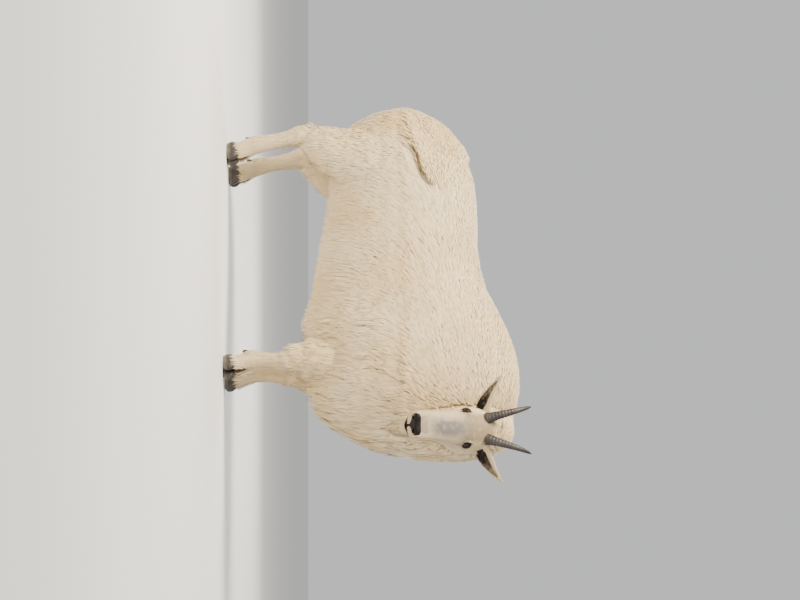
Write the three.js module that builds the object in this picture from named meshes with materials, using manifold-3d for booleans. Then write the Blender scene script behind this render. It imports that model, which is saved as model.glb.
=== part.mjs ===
// A mountain goat, life size, standing square and looking round over its right shoulder.
// Millimetres: +X is ahead of the body, +Y is the animal's left, +Z is up, and the ground is Z = 0.

import * as THREE from "three";
import { mergeVertices } from "three/addons/utils/BufferGeometryUtils.js";
import Module from "manifold-3d";

const wasm = await Module();
wasm.setup();

// Driving sizes.
const GAP = 0.3; // between parts that touch
const WITHERS = 950; // height of the shoulder hump, over the coat
const TORSO_AXIS = 600; // height of the line that the torso's rings stand on
const FORE_X = 318; // both forefeet stand here
const FORE_Y = 66;
const HIND_X = -418;
const HIND_Y = 84;
const FORE_CUT = 332; // height where a foreleg leaves the torso
const HIND_CUT = 408;
const KNEE_CUT = 232; // height where a foreleg's upper part ends
const HEM = 178; // and the lowest of its long hair, which hangs round the knee
const HOCK_CUT = 252; // under the hock
const HOOF_TOP = 42; // where hair gives way to hoof

// Half of the coat's depth on each body: its core ends here and its locks rise as far again.
const TORSO_COAT = 22;
const NECK_COAT = 24;
const LEG_COAT = 16;
const TAIL_COAT = 9;
const BEARD_COAT = 9;

// The head's own frame: X runs from the back of the skull to the nose, Z out of the forehead.
const HEAD_AT = new THREE.Vector3(570, -118, 837);
const HEAD_TURN = THREE.MathUtils.degToRad(-77.5); // from straight ahead, to its right
const HEAD_NOD = THREE.MathUtils.degToRad(49); // nose down
const HEAD_TILT = THREE.MathUtils.degToRad(-1);

const material = (color, roughness, metalness = 0) =>
  new THREE.MeshStandardMaterial({ color, roughness, metalness });
const WOOL = material(0xe9e0cc, 0.9);
const LEG_HAIR = material(0xe2d8c4, 0.85);
const FACE_HAIR = material(0xd8d0c2, 0.8);
const HORN = material(0x3b332e, 0.45);
const HOOF = material(0x3f3a36, 0.5);
const EYE = material(0x1d120c, 0.08);
const NOSE = material(0x1f1a19, 0.4);

// Solids from geometry.
function solid(geometry, tolerance = 1e-4) {
  const bare = geometry.clone();
  bare.deleteAttribute("normal");
  bare.deleteAttribute("uv");
  const merged = mergeVertices(bare, tolerance);
  return new wasm.Manifold(
    new wasm.Mesh({
      numProp: 3,
      vertProperties: merged.attributes.position.array,
      triVerts: new Uint32Array(merged.index.array),
    }),
  );
}

// The largest closed surface of a solid, so that no scrap of a cut stays behind.
function largest(made) {
  const pieces = made.decompose();
  return pieces.reduce((a, b) => (b.volume() > a.volume() ? b : a));
}

function geometryOf(made) {
  const raw = made.getMesh();
  const geometry = new THREE.BufferGeometry();
  geometry.setAttribute("position", new THREE.BufferAttribute(new Float32Array(raw.vertProperties), 3));
  geometry.setIndex(new THREE.BufferAttribute(new Uint32Array(raw.triVerts), 1));
  return geometry;
}

// Points that lie a hair apart are welded first, so that nothing hangs on by a thread.
function meshOf(name, made, finish) {
  const geometry = geometryOf(largest(solid(geometryOf(largest(made)), 1e-3)));
  geometry.computeVertexNormals();
  const mesh = new THREE.Mesh(geometry, finish);
  mesh.name = name;
  return mesh;
}

// A block between two corners, for cutting.
function block(low, high, matrix = new THREE.Matrix4()) {
  const size = high.map((v, i) => v - low[i]);
  const shape = new THREE.BoxGeometry(...size);
  shape.translate(...low.map((v, i) => v + size[i] / 2));
  return solid(shape.applyMatrix4(matrix));
}

function ball(at, radii, matrix = new THREE.Matrix4(), around = 12, along = 8) {
  const shape = new THREE.SphereGeometry(1, around, along);
  shape.scale(...radii).translate(...at);
  return solid(shape.applyMatrix4(matrix));
}

const signedPower = (value, power) => Math.sign(value) * Math.abs(value) ** power;

// A body drawn along a line. Each station has a place `at` and the ring's size there:
// to each side, up and down. At angle 0 a ring point is on the right, at a quarter turn it is on top.
class Body {
  constructor({
    stations, upward = [0, 0, 1], ends = [0, 0], square = 2, narrow = 0, bulges = [], inset = 0,
  }) {
    const places = stations.map((s) => new THREE.Vector3(...s.at));
    const sizes = stations.map((s) => new THREE.Vector3(s.side, s.up, s.down));
    this.line = new THREE.CatmullRomCurve3(places, false, "catmullrom");
    this.sizes = new THREE.CatmullRomCurve3(sizes, false, "catmullrom");
    this.upward = new THREE.Vector3(...upward);
    Object.assign(this, { ends, square, narrow, bulges, inset });
  }

  // How far a ring is drawn in where the body rounds off at its ends.
  rounding(s) {
    const [start, end] = this.ends;
    const left = start > 0 ? Math.min(1, s / start) : 1;
    const right = end > 0 ? Math.min(1, (1 - s) / end) : 1;
    return Math.sqrt(Math.max(0, 1 - (1 - left) ** 2)) * Math.sqrt(Math.max(0, 1 - (1 - right) ** 2));
  }

  plain(s, angle) {
    const ahead = this.line.getTangent(s);
    const up = this.upward.clone().addScaledVector(ahead, -this.upward.dot(ahead)).normalize();
    const side = ahead.clone().cross(up);
    const size = this.sizes.getPoint(s).addScalar(-this.inset);
    const across = signedPower(Math.cos(angle), 2 / this.square);
    const height = signedPower(Math.sin(angle), 2 / this.square);
    const round = this.rounding(s);
    return this.line.getPoint(s)
      .addScaledVector(side, size.x * across * (1 - this.narrow * Math.max(0, height)) * round)
      .addScaledVector(up, (height > 0 ? size.y : size.z) * height * round);
  }

  normal(s, angle) {
    const step = 0.01;
    const low = Math.max(0.002, s - step);
    const high = Math.min(0.998, s + step);
    const along = this.plain(high, angle).sub(this.plain(low, angle));
    const around = this.plain(s, angle + step).sub(this.plain(s, angle - step));
    return along.cross(around).normalize();
  }

  place(s, angle) {
    const at = this.plain(s, angle);
    const swell = this.bulges.reduce((sum, b) => {
      const far = at.distanceToSquared(new THREE.Vector3(...b.at)) / b.reach ** 2;
      return sum + b.rise * Math.exp(-far);
    }, 0);
    return swell ? at.addScaledVector(this.normal(s, angle), swell) : at;
  }

  // Rings stand closer together towards the ends by the share `bunch`.
  solid(around, along, bunch = 0.5, twist = 0) {
    const shape = new THREE.SphereGeometry(1, around, along);
    const points = shape.attributes.position;
    for (let i = 0; i < points.count; i++) {
      const polar = Math.acos(THREE.MathUtils.clamp(points.getY(i), -1, 1)) / Math.PI;
      const eased = (1 - Math.cos(Math.PI * polar)) / 2;
      const s = polar + bunch * (eased - polar);
      const angle = Math.atan2(points.getZ(i), -points.getX(i)) + twist;
      const pole = polar < 1e-6 || polar > 1 - 1e-6;
      const at = pole ? this.line.getPoint(Math.round(polar)) : this.place(s, angle);
      points.setXYZ(i, at.x, at.y, at.z);
    }
    return solid(shape);
  }
}

// Numbers from 0 to 1 that are the same at every run.
function seeded(seed) {
  let state = seed >>> 0;
  return () => {
    state = (state + 0x6d2b79f5) >>> 0;
    let t = Math.imul(state ^ (state >>> 15), 1 | state);
    t = (t + Math.imul(t ^ (t >>> 7), 61 | t)) ^ t;
    return ((t ^ (t >>> 14)) >>> 0) / 4294967296;
  };
}

// Walks over a body from (s, angle), along the way that `lie` gives at each place,
// and straight on where it leaves the body's end.
function walk(body, s, angle, lie, step, count) {
  const h = 0.02;
  const path = [];
  while (path.length < count) {
    if (s > 0.97 && path.length) {
      const { at, normal } = path.at(-1);
      path.push({ at: at.clone().addScaledVector(lie(at).normalize(), step), normal });
      continue;
    }
    const at = body.place(s, angle);
    const normal = body.normal(s, angle);
    path.push({ at, normal });
    const along = body.place(Math.min(s + h, 0.995), angle).sub(body.place(Math.max(s - h, 0.005), angle));
    const around = body.place(s, angle + h).sub(body.place(s, angle - h));
    const want = lie(at);
    want.addScaledVector(normal, -want.dot(normal)).setLength(step * 2 * h);
    const [aa, ab, bb] = [along.dot(along), along.dot(around), around.dot(around)];
    const [ra, rb] = [along.dot(want), around.dot(want)];
    const det = aa * bb - ab * ab;
    s = Math.max(0.03, s + (ra * bb - rb * ab) / det);
    angle += (rb * aa - ra * ab) / det;
  }
  return path;
}

// Angles that stand about `across` apart over the ring at s, from one angle to another.
function spread(body, s, start, end, across, offset) {
  const fine = 72;
  const angles = [];
  let gone = -offset * across;
  let before = body.place(s, start);
  for (let i = 1; i <= fine; i++) {
    const angle = start + ((end - start) * i) / fine;
    const at = body.place(s, angle);
    gone += at.distanceTo(before);
    before = at;
    if (gone >= across * angles.length) angles.push(angle);
  }
  return angles;
}

// One flat lock, ridged along its top: rooted under the skin and thin at its lifted tip.
const LOCK_WIDTH = [0.3, 0.95, 1, 0.7, 0.12];
const LOCK_THICK = [0.9, 1, 0.95, 0.6, 0.2];
const LOCK_RISE = [-0.7, 0.3, 0.65, 0.9, 1.05];
function lock(path, wide, thick, high, sag) {
  const stations = path.map(({ at, normal }, i) => {
    const centre = at.clone().addScaledVector(normal, high * LOCK_RISE[i]);
    centre.z -= sag * (i / (path.length - 1)) ** 2;
    const depth = thick * LOCK_THICK[i];
    return { at: centre.toArray(), side: (wide / 2) * LOCK_WIDTH[i], up: depth, down: depth };
  });
  return new Body({ stations, upward: path[2].normal.toArray() }).solid(3, 4, 0, Math.PI / 2);
}

// Rows of locks over a body, `across` apart. `keep` says where a lock may root.
function coat(body, shape) {
  const { rows, across, from, to, start = 0, end = 2 * Math.PI } = shape;
  const { long, wide, thick, high, lie, seed, sag = 5, keep = () => true } = shape;
  const random = seeded(seed);
  const vary = (amount) => 1 + amount * (random() - 0.5);
  const locks = [];
  for (let row = 0; row < rows; row++) {
    const middle = from + ((to - from) * (row + 0.5)) / rows;
    for (const angle of spread(body, middle, start, end, across, 0.25 + (row % 2) / 2)) {
      const s = middle + (0.35 * (to - from) * (random() - 0.5)) / rows;
      const turn = new THREE.Vector3(0.3 * (random() - 0.5), 0.2 * (random() - 0.5), 0);
      const path = walk(body, s, angle, (at) => lie(at).add(turn), (long * vary(0.3)) / 4, 5);
      if (keep(path[1].at)) locks.push(lock(path, wide * vary(0.25), thick, high * vary(0.2), sag));
    }
  }
  return locks;
}

const mirrored = (at, side) => [at[0], at[1] * side, at[2]];
const join = (...pieces) => pieces.reduce((a, b) => a.add(b));

// Torso and neck, over the coat.
const torsoRing = (x, side, top, bottom) => ({
  at: [x, 0, TORSO_AXIS], side, up: top - TORSO_AXIS, down: TORSO_AXIS - bottom,
});
const TORSO_RINGS = [
  torsoRing(-578, 130, 716, 440),
  torsoRing(-500, 158, 766, 392),
  torsoRing(-430, 168, 797, 378),
  torsoRing(-350, 172, 826, 372),
  torsoRing(-220, 178, 836, 360),
  torsoRing(-80, 186, 834, 335),
  torsoRing(60, 192, 859, 312),
  torsoRing(180, 192, 914, 296),
  torsoRing(300, 188, WITHERS, 300),
  torsoRing(410, 178, WITHERS, 322),
  torsoRing(500, 152, 912, 350),
  torsoRing(594, 122, 790, 424),
];
const NECK_RINGS = [
  { at: [330, 0, 690], side: 150, up: 256, down: 220 },
  { at: [440, 3, 715], side: 136, up: 240, down: 235 },
  { at: [520, -18, 745], side: 112, up: 214, down: 212 },
  { at: [556, -66, 776], side: 98, up: 162, down: 176 },
  { at: [568, -124, 790], side: 84, up: 96, down: 134 },
];

const torso = new Body({
  inset: TORSO_COAT, stations: TORSO_RINGS, ends: [0.12, 0.14], square: 2.25, narrow: 0.22,
  bulges: [
    { at: [330, 190, 600], reach: 130, rise: 14 },
    { at: [330, -190, 600], reach: 130, rise: 14 },
    { at: [-400, 170, 520], reach: 140, rise: 16 },
    { at: [-400, -170, 520], reach: 140, rise: 16 },
  ],
});
const neck = new Body({
  inset: NECK_COAT, stations: NECK_RINGS, ends: [0.1, 0.12], square: 2.1, narrow: 0.12,
});

// Head.
const headMatrix = new THREE.Matrix4().compose(
  HEAD_AT,
  new THREE.Quaternion().setFromEuler(new THREE.Euler(HEAD_TILT, HEAD_NOD, HEAD_TURN, "ZYX")),
  new THREE.Vector3(1, 1, 1),
);
const headRing = (x, side, up, down, z = 0) => ({ at: [x, 0, z], side, up, down });
const HEAD_RINGS = [
  headRing(-14, 60, 38, 62),
  headRing(30, 67, 48, 92),
  headRing(74, 63, 50, 104),
  headRing(116, 55, 41, 98),
  headRing(160, 53, 30, 84),
  headRing(205, 47, 21, 72),
  headRing(245, 43, 15, 63),
  headRing(280, 43, 9, 68),
  headRing(302, 42, 6, 68, -2),
  headRing(316, 36, 2, 62, -4),
];
const EYE_AT = [114, 47, 13];
const EYE_RADIUS = 15;
const skullShape = {
  stations: HEAD_RINGS, ends: [0.1, 0.08], square: 2.3, narrow: 0.1,
  bulges: [1, -1].flatMap((side) => [
    { at: [104, 54 * side, 30], reach: 22, rise: 6 },
    { at: [120, 58 * side, 6], reach: 20, rise: -6 },
    { at: [92, 60 * side, -55], reach: 52, rise: 12 },
    { at: [306, 22 * side, -8], reach: 17, rise: 3 },
    { at: [304, 26 * side, -36], reach: 15, rise: 4 },
    { at: [306, 14 * side, -60], reach: 16, rise: 3 },
  ]),
};
const skull = new Body(skullShape);
const skullSpace = new Body({ ...skullShape, inset: -GAP });
const skullCore = new Body({ ...skullShape, inset: 4 });

// Legs: the long-haired upper part, and the short-haired shank under it.
const foreUpper = (side) => new Body({
  inset: LEG_COAT, upward: [1, 0, 0],
  stations: [
    { at: [FORE_X - 4, 74 * side, 500], side: 66, up: 84, down: 92 },
    { at: [FORE_X - 4, 74 * side, 420], side: 66, up: 84, down: 90 },
    { at: [FORE_X - 2, 70 * side, 340], side: 60, up: 78, down: 82 },
    { at: [FORE_X - 2, 67 * side, 290], side: 54, up: 68, down: 72 },
    { at: [FORE_X - 6, 66 * side, 250], side: 52, up: 56, down: 62 },
    { at: [FORE_X - 8, 66 * side, 214], side: 48, up: 50, down: 56 },
  ],
});
const foreShank = (side, inset = 0) => new Body({
  inset, upward: [1, 0, 0],
  stations: [
    { at: [FORE_X - 4, 66 * side, 250], side: 32, up: 34, down: 34 },
    { at: [FORE_X, 66 * side, 205], side: 31, up: 33, down: 33 },
    { at: [FORE_X, 66 * side, 165], side: 26, up: 27, down: 28 },
    { at: [FORE_X - 2, FORE_Y * side, 128], side: 26, up: 27, down: 29 },
    { at: [FORE_X - 4, FORE_Y * side, 98], side: 30, up: 31, down: 35 },
    { at: [FORE_X + 6, FORE_Y * side, 68], side: 31, up: 31, down: 31 },
    { at: [FORE_X + 14, FORE_Y * side, 42], side: 34, up: 36, down: 34 },
    { at: [FORE_X + 18, FORE_Y * side, 24], side: 34, up: 36, down: 34 },
  ],
});
const kneeSpace = (side) => foreShank(side, -3);
const hindUpper = (side) => new Body({
  inset: LEG_COAT, upward: [1, 0, 0],
  stations: [
    { at: [HIND_X + 50, 92 * side, 600], side: 74, up: 110, down: 118 },
    { at: [HIND_X + 46, 94 * side, 500], side: 74, up: 108, down: 122 },
    { at: [HIND_X + 26, 92 * side, 410], side: 64, up: 92, down: 106 },
    { at: [HIND_X - 18, 88 * side, 330], side: 50, up: 66, down: 74 },
    { at: [HIND_X - 50, 86 * side, 280], side: 38, up: 42, down: 42 },
    { at: [HIND_X - 52, 85 * side, 240], side: 33, up: 35, down: 36 },
  ],
});
const hindShank = (side) => new Body({
  upward: [1, 0, 0],
  stations: [
    { at: [HIND_X - 52, 85 * side, 270], side: 31, up: 34, down: 35 },
    { at: [HIND_X - 48, 85 * side, 225], side: 29, up: 31, down: 31 },
    { at: [HIND_X - 36, HIND_Y * side, 165], side: 26, up: 27, down: 28 },
    { at: [HIND_X - 28, HIND_Y * side, 128], side: 27, up: 28, down: 30 },
    { at: [HIND_X - 22, HIND_Y * side, 98], side: 30, up: 31, down: 35 },
    { at: [HIND_X - 8, HIND_Y * side, 68], side: 31, up: 31, down: 31 },
    { at: [HIND_X + 4, HIND_Y * side, 42], side: 34, up: 36, down: 34 },
    { at: [HIND_X + 8, HIND_Y * side, 24], side: 34, up: 36, down: 34 },
  ],
});

// Toes point outwards, the right forefoot's most, and a foot's two claws are spread.
const TOES_OUT = { fore_right: 32, fore_left: 12, hind_right: 10, hind_left: 10 };
const SPREAD = 5;
const turnedAt = (x, y, degrees) => new THREE.Matrix4()
  .makeRotationZ(THREE.MathUtils.degToRad(degrees)).setPosition(x, y, 0);

// One of a foot's two claws, flat on the ground, in the foot's own frame. `way` is 1 for the one on
// the left of the foot and -1 for the other.
function claw(way) {
  const y = 16.5 * way;
  const body = new Body({
    stations: [
      { at: [-34, y + way, 15], side: 14, up: 16, down: 18 },
      { at: [-16, y + way, 18], side: 16, up: 24, down: 22 },
      { at: [4, y, 18], side: 16, up: 26, down: 22 },
      { at: [22, y - 2 * way, 14], side: 14, up: 20, down: 18 },
      { at: [34, y - 4 * way, 9], side: 9, up: 11, down: 12 },
    ],
    ends: [0.3, 0.3], square: 2.5,
  });
  const spread = turnedAt(-20, y, SPREAD * way).multiply(turnedAt(20, -y, 0));
  return body.solid(8, 7).transform(spread.elements).intersect(block([-90, -90, 0], [90, 90, HOOF_TOP]));
}

// A dewclaw hangs behind the pastern.
function dewclaw(way, grow) {
  const spur = new THREE.SphereGeometry(1, 6, 4);
  spur.rotateX(Math.PI / 2).scale(8 + grow, 6.5 + grow, 14 + grow).rotateY(0.45);
  return solid(spur.translate(-25, 13 * way, 74));
}

// Horns: each leans back more and more and away from its fellow.
const HORN_ROOT = [50, 32, 40];
const HORN_LONG = 162;
function horn(side) {
  const rings = 9;
  const at = new THREE.Vector3(...mirrored(HORN_ROOT, side));
  const stations = [];
  for (let i = 0; i <= rings; i++) {
    const t = i / rings;
    const size = 17 * (1 - t) ** 0.64 + 1.2 * t;
    stations.push({ at: at.toArray(), side: size * 0.92, up: size, down: size });
    const lean = THREE.MathUtils.degToRad(34 + 66 * t);
    const step = new THREE.Vector3(-Math.sin(lean), 0.27 * side, Math.cos(lean)).normalize();
    at.addScaledVector(step, HORN_LONG / rings);
  }
  return new Body({ upward: [1, 0, 0], stations, ends: [0, 0.03] }).solid(8, 11, 0.2);
}

// Ears: a leaf-shaped cup that opens ahead and down.
const EAR_ROOT = [34, 56, 4];
function earBody(side, cup) {
  const [x, y, z] = mirrored(EAR_ROOT, side);
  const shift = cup ? 6 : 0;
  const thin = cup ? 4 : 0;
  return new Body({
    upward: [1, 0.2 * side, -0.1],
    stations: [
      { at: [x + shift, y - 8 * side, z - 4], side: 33 - thin, up: 14, down: 13 - thin },
      { at: [x + shift, y + 16 * side, z + 6], side: 34 - thin, up: 13, down: 12 - thin },
      { at: [x - 2 + shift, y + 40 * side, z + 20], side: 29 - thin, up: 10, down: 10 - thin },
      { at: [x - 6 + shift, y + 66 * side, z + 36], side: 20 - thin, up: 7, down: 8 - thin },
      { at: [x - 11 + shift, y + 90 * side, z + 54], side: 12 - thin, up: 4, down: 6 - thin / 2 },
      { at: [x - 17, y + 110 * side, z + 70], side: 4, up: 2.5, down: 3 },
    ],
    ends: [0.1, 0.1],
  });
}

// Tail and beard.
const tail = new Body({
  inset: TAIL_COAT, upward: [-1, 0, 0],
  stations: [
    { at: [-500, 0, 680], side: 30, up: 20, down: 40 },
    { at: [-546, -4, 668], side: 34, up: 24, down: 36 },
    { at: [-572, -8, 626], side: 33, up: 26, down: 26 },
    { at: [-580, -12, 578], side: 28, up: 22, down: 20 },
    { at: [-582, -14, 536], side: 12, up: 9, down: 8 },
  ],
  ends: [0.1, 0.2],
});
const beardShape = {
  upward: [1, 0, 0],
  stations: [
    { at: [222, 0, -34], side: 30, up: 40, down: 58 },
    { at: [238, 0, -74], side: 33, up: 38, down: 58 },
    { at: [254, 0, -108], side: 28, up: 28, down: 42 },
    { at: [270, 0, -134], side: 16, up: 14, down: 20 },
  ],
  ends: [0.1, 0.2],
};
const beard = new Body({ ...beardShape, inset: BEARD_COAT });
const beardSpace = new Body({ ...beardShape, inset: -2 });

// Regions: each named part is the flesh inside its own region.
const FAR = 2000;
const SIDES = [["right", -1], ["left", 1]];
const under = (z) => block([-FAR, -FAR, -FAR], [FAR, FAR, z]);
const above = (z) => block([-FAR, -FAR, z], [FAR, FAR, FAR]);
const neckFrame = new THREE.Matrix4().makeRotationY(-0.62).setPosition(395, 0, 700);
const neckRegion = (grow) => block([-grow, -FAR, -400], [FAR, FAR, FAR], neckFrame);
const beardFrame = new THREE.Matrix4().makeRotationY(0.08).setPosition(230, 0, -67);
const beardRegion = (grow) => block([-28 - grow, -80, -200], [140, 80, grow], beardFrame);
const tailFrame = new THREE.Matrix4().makeRotationY(0.12).setPosition(-553, -8, 606);
const tailRegion = (grow) => block([-120, -44 - grow, -90], [grow, 44 + grow, 88 + grow], tailFrame);

// The column of space that belongs to one leg, from its foot up to its cut.
function legRegion(x, side, long, top, grow) {
  const column = new THREE.CylinderGeometry(1, 1, top + grow + 20, 20);
  column.rotateX(Math.PI / 2).translate(0, 0, (top + grow - 20) / 2);
  column.scale(long + grow, 68 + grow, 1).translate(x, 74 * side, 0);
  return solid(column);
}
const foreRegion = (side, grow) => legRegion(FORE_X - 4, side, 92, FORE_CUT, grow);
const hindRegion = (side, grow) => legRegion(HIND_X + 4, side, 122, HIND_CUT, grow);

// The nose pad as seen from the front, wide at the nostrils and narrow at the lip.
function padRegion(grow) {
  const outline = [[30, 14], [33, -6], [25, -20], [9, -30], [4, -41]];
  const shape = new THREE.Shape();
  const half = outline.map(([y, z]) => new THREE.Vector2(y + grow, z));
  half[0].y += grow;
  half[4].y -= grow;
  const round = [...half, ...half.map((v) => new THREE.Vector2(-v.x, v.y)).reverse()];
  shape.setFromPoints(round);
  const slab = new THREE.ExtrudeGeometry(shape, { depth: 60 + grow, bevelEnabled: false, steps: 1 });
  slab.rotateX(Math.PI / 2).rotateZ(Math.PI / 2).translate(298 - grow, 0, 0);
  return solid(slab);
}

// Assembly.
const goat = new THREE.Group();
const stand = new THREE.Group();
const headGroup = new THREE.Group();
goat.add(stand);
stand.add(headGroup);
headGroup.applyMatrix4(headMatrix);
const ofHead = (made) => made.transform(headMatrix.elements);

const grownSkull = skullSpace.solid(20, 20, 0.4);
const socket = ofHead(join(grownSkull, grownSkull.translate([-GAP, 0, 0]), beardSpace.solid(12, 8)));

// The lie of the hair: back along the spine, down the flanks, straight down at chest and throat.
const { smoothstep } = THREE.MathUtils;
function torsoLie(at) {
  const high = smoothstep(at.z, 480, 880);
  const chest = smoothstep(at.x, 360, 560);
  return new THREE.Vector3(-0.4 - 0.8 * high + 0.35 * chest, 0, -1 + 0.8 * high - 0.4 * chest);
}
function neckLie(at) {
  const high = smoothstep(at.z, 760, 930);
  return new THREE.Vector3(-0.35 - 0.8 * high, 0.1, -1 + 0.75 * high);
}
const legLie = () => new THREE.Vector3(-0.12, 0, -1);
const beardLie = () => new THREE.Vector3(0.35, 0, -1);
const intoNeck = neckFrame.clone().invert();
const beyondNeckCut = (at) => at.clone().applyMatrix4(intoNeck).x;

const locks = [
  ...coat(torso, {
    rows: 7, across: 94, from: 0.02, to: 0.99, start: -1.35, end: 4.49, seed: 18,
    long: 170, wide: 92, thick: 8, high: TORSO_COAT * 1.2, lie: torsoLie,
    keep: (at) => beyondNeckCut(at) < 40 && !(at.x < -515 && Math.abs(at.y) < 55 && at.z > 560),
  }),
  ...coat(neck, {
    rows: 4, across: 98, from: 0.1, to: 0.98, start: -1.5, end: 4.7, seed: 12,
    long: 125, wide: 84, thick: 8, high: NECK_COAT * 1.2, lie: neckLie,
    keep: (at) => beyondNeckCut(at) > -30,
  }),
  ...coat(tail, {
    rows: 2, across: 46, from: 0.15, to: 0.8, seed: 13,
    long: 80, wide: 36, thick: 4, high: TAIL_COAT, lie: legLie, sag: 2,
  }),
];
for (const [, side] of SIDES) {
  locks.push(...coat(foreUpper(side), {
    rows: 2, across: 54, from: 0.1, to: 0.8, seed: 20 + side,
    long: 82, wide: 54, thick: 6, high: LEG_COAT, lie: legLie,
  }));
  locks.push(...coat(hindUpper(side), {
    rows: 2, across: 66, from: 0.34, to: 0.86, seed: 34 + side,
    long: 130, wide: 64, thick: 6, high: LEG_COAT, lie: legLie,
  }));
}
const beardLocks = coat(beard, {
  rows: 2, across: 44, from: 0.4, to: 0.85, seed: 14,
  long: 62, wide: 32, thick: 4, high: BEARD_COAT, lie: beardLie, sag: 0,
});
const upperLegs = SIDES.flatMap(([, side]) => [foreUpper(side), hindUpper(side)]);
const uppers = upperLegs.map((leg) => leg.solid(10, 7, 0));
const cores = join(torso.solid(20, 16), neck.solid(16, 9, 0.2), tail.solid(8, 7), ...uppers);
const trunk = join(cores, ...locks).subtract(socket);

// Torso, neck and tail.
const legSpace = SIDES.flatMap(([, side]) => [foreRegion(side, GAP), hindRegion(side, GAP)]);
stand.add(meshOf("torso", trunk.subtract(join(neckRegion(GAP), tailRegion(GAP), ...legSpace)), WOOL));
stand.add(meshOf("neck", trunk.intersect(neckRegion(0)), WOOL));
stand.add(meshOf("tail", trunk.intersect(tailRegion(0)), WOOL));

// Legs and feet.
for (const [name, side] of SIDES) {
  for (const [leg, region, cut, shankBody, footX, footY] of [
    ["fore", foreRegion(side, 0), KNEE_CUT, foreShank(side), FORE_X + 16, FORE_Y],
    ["hind", hindRegion(side, 0), HOCK_CUT, hindShank(side), HIND_X + 8, HIND_Y],
  ]) {
    const upper = trunk.intersect(region).intersect(above(leg === "fore" ? HEM : cut + GAP));
    const inside = kneeSpace(side).solid(10, 11, 0).intersect(under(cut + GAP));
    stand.add(meshOf(`${leg}leg_${name}`, leg === "fore" ? upper.subtract(inside) : upper, WOOL));
    let shank = shankBody.solid(10, 11, 0).intersect(under(cut)).subtract(under(HOOF_TOP + GAP));
    const toesOut = TOES_OUT[`${leg}_${name}`] * side;
    const footPlace = turnedAt(footX + 2, footY * side, toesOut).elements;
    const pasternPlace = turnedAt(footX - 20, footY * side, toesOut).elements;
    for (const [edge, way] of [["outer", side], ["inner", -side]]) {
      stand.add(meshOf(`hoof_${leg}_${name}_${edge}`, claw(way).transform(footPlace), HOOF));
      const spur = dewclaw(way, 0).transform(pasternPlace);
      stand.add(meshOf(`dewclaw_${leg}_${name}_${edge}`, spur, HOOF));
      shank = shank.subtract(dewclaw(way, 1).transform(pasternPlace));
    }
    stand.add(meshOf(`shank_${leg}_${name}`, shank, LEG_HAIR));
  }
}

// Head: the mouth is a groove round the muzzle, and each lid a shell with an almond opening.
const wholeSkull = skull.solid(20, 20, 0.4);
const mouthFrame = new THREE.Matrix4().makeRotationY(0.15).setPosition(290, 0, -43);
const mouth = block([-30, -80, -0.9], [60, 80, 0.9], mouthFrame).subtract(skullCore.solid(20, 20, 0.4));
const nostril = (side) => ball([0, 0, 0], [11, 8, 4],
  new THREE.Matrix4().makeRotationX(-0.55 * side).setPosition(315, 20 * side, -12), 8, 5);
let face = join(wholeSkull, beard.solid(10, 7));
headGroup.add(meshOf("beard", join(face, ...beardLocks).intersect(beardRegion(0)), WOOL));
face = face.subtract(join(beardRegion(GAP), mouth));
const pad = face.intersect(padRegion(0)).subtract(join(nostril(1), nostril(-1)));
headGroup.add(meshOf("nose_pad", pad, NOSE));
face = face.subtract(padRegion(GAP));
for (const [name, side] of SIDES) {
  const [ex, ey, ez] = mirrored(EYE_AT, side);
  const [lid, hole] = [EYE_RADIUS + 2, EYE_RADIUS + 0.4];
  face = join(face, ball([ex, ey, ez], [lid, lid, lid])).subtract(
    join(ball([ex + 4, ey + 12 * side, ez + 8], [14, 11, 9]), ball([ex, ey, ez], [hole, hole, hole])));
  headGroup.add(meshOf(`eye_${name}`, ball([ex, ey, ez], [EYE_RADIUS, EYE_RADIUS, EYE_RADIUS]), EYE));
  headGroup.add(meshOf(`horn_${name}`, horn(side).subtract(grownSkull), HORN));
  const ear = earBody(side, false).solid(8, 9, 0.2).subtract(earBody(side, true).solid(8, 9, 0.2));
  headGroup.add(meshOf(`ear_${name}`, ear.subtract(grownSkull), FACE_HAIR));
}
headGroup.add(meshOf("head", face, FACE_HAIR));

// The origin is on the ground, under the middle of the whole.
goat.updateMatrixWorld(true);
const middle = new THREE.Box3().setFromObject(goat, true).getCenter(new THREE.Vector3());
stand.position.set(-middle.x, -middle.y, 0);

export default goat;
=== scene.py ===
# %% [markdown]
# A mountain goat, life size, as a museum would show it. It stands square on four hooves and looks round
# over its right shoulder. The solids of the frame already have its pose and its outline. This file gives
# it a skin, a coat of small solid tufts, and finished eyes, horns and hooves.

# %% Load the frame
import math

import bmesh
import bpy
import numpy as np
from mathutils import Matrix, Vector
from mathutils.bvhtree import BVHTree
from mathutils.kdtree import KDTree


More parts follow.
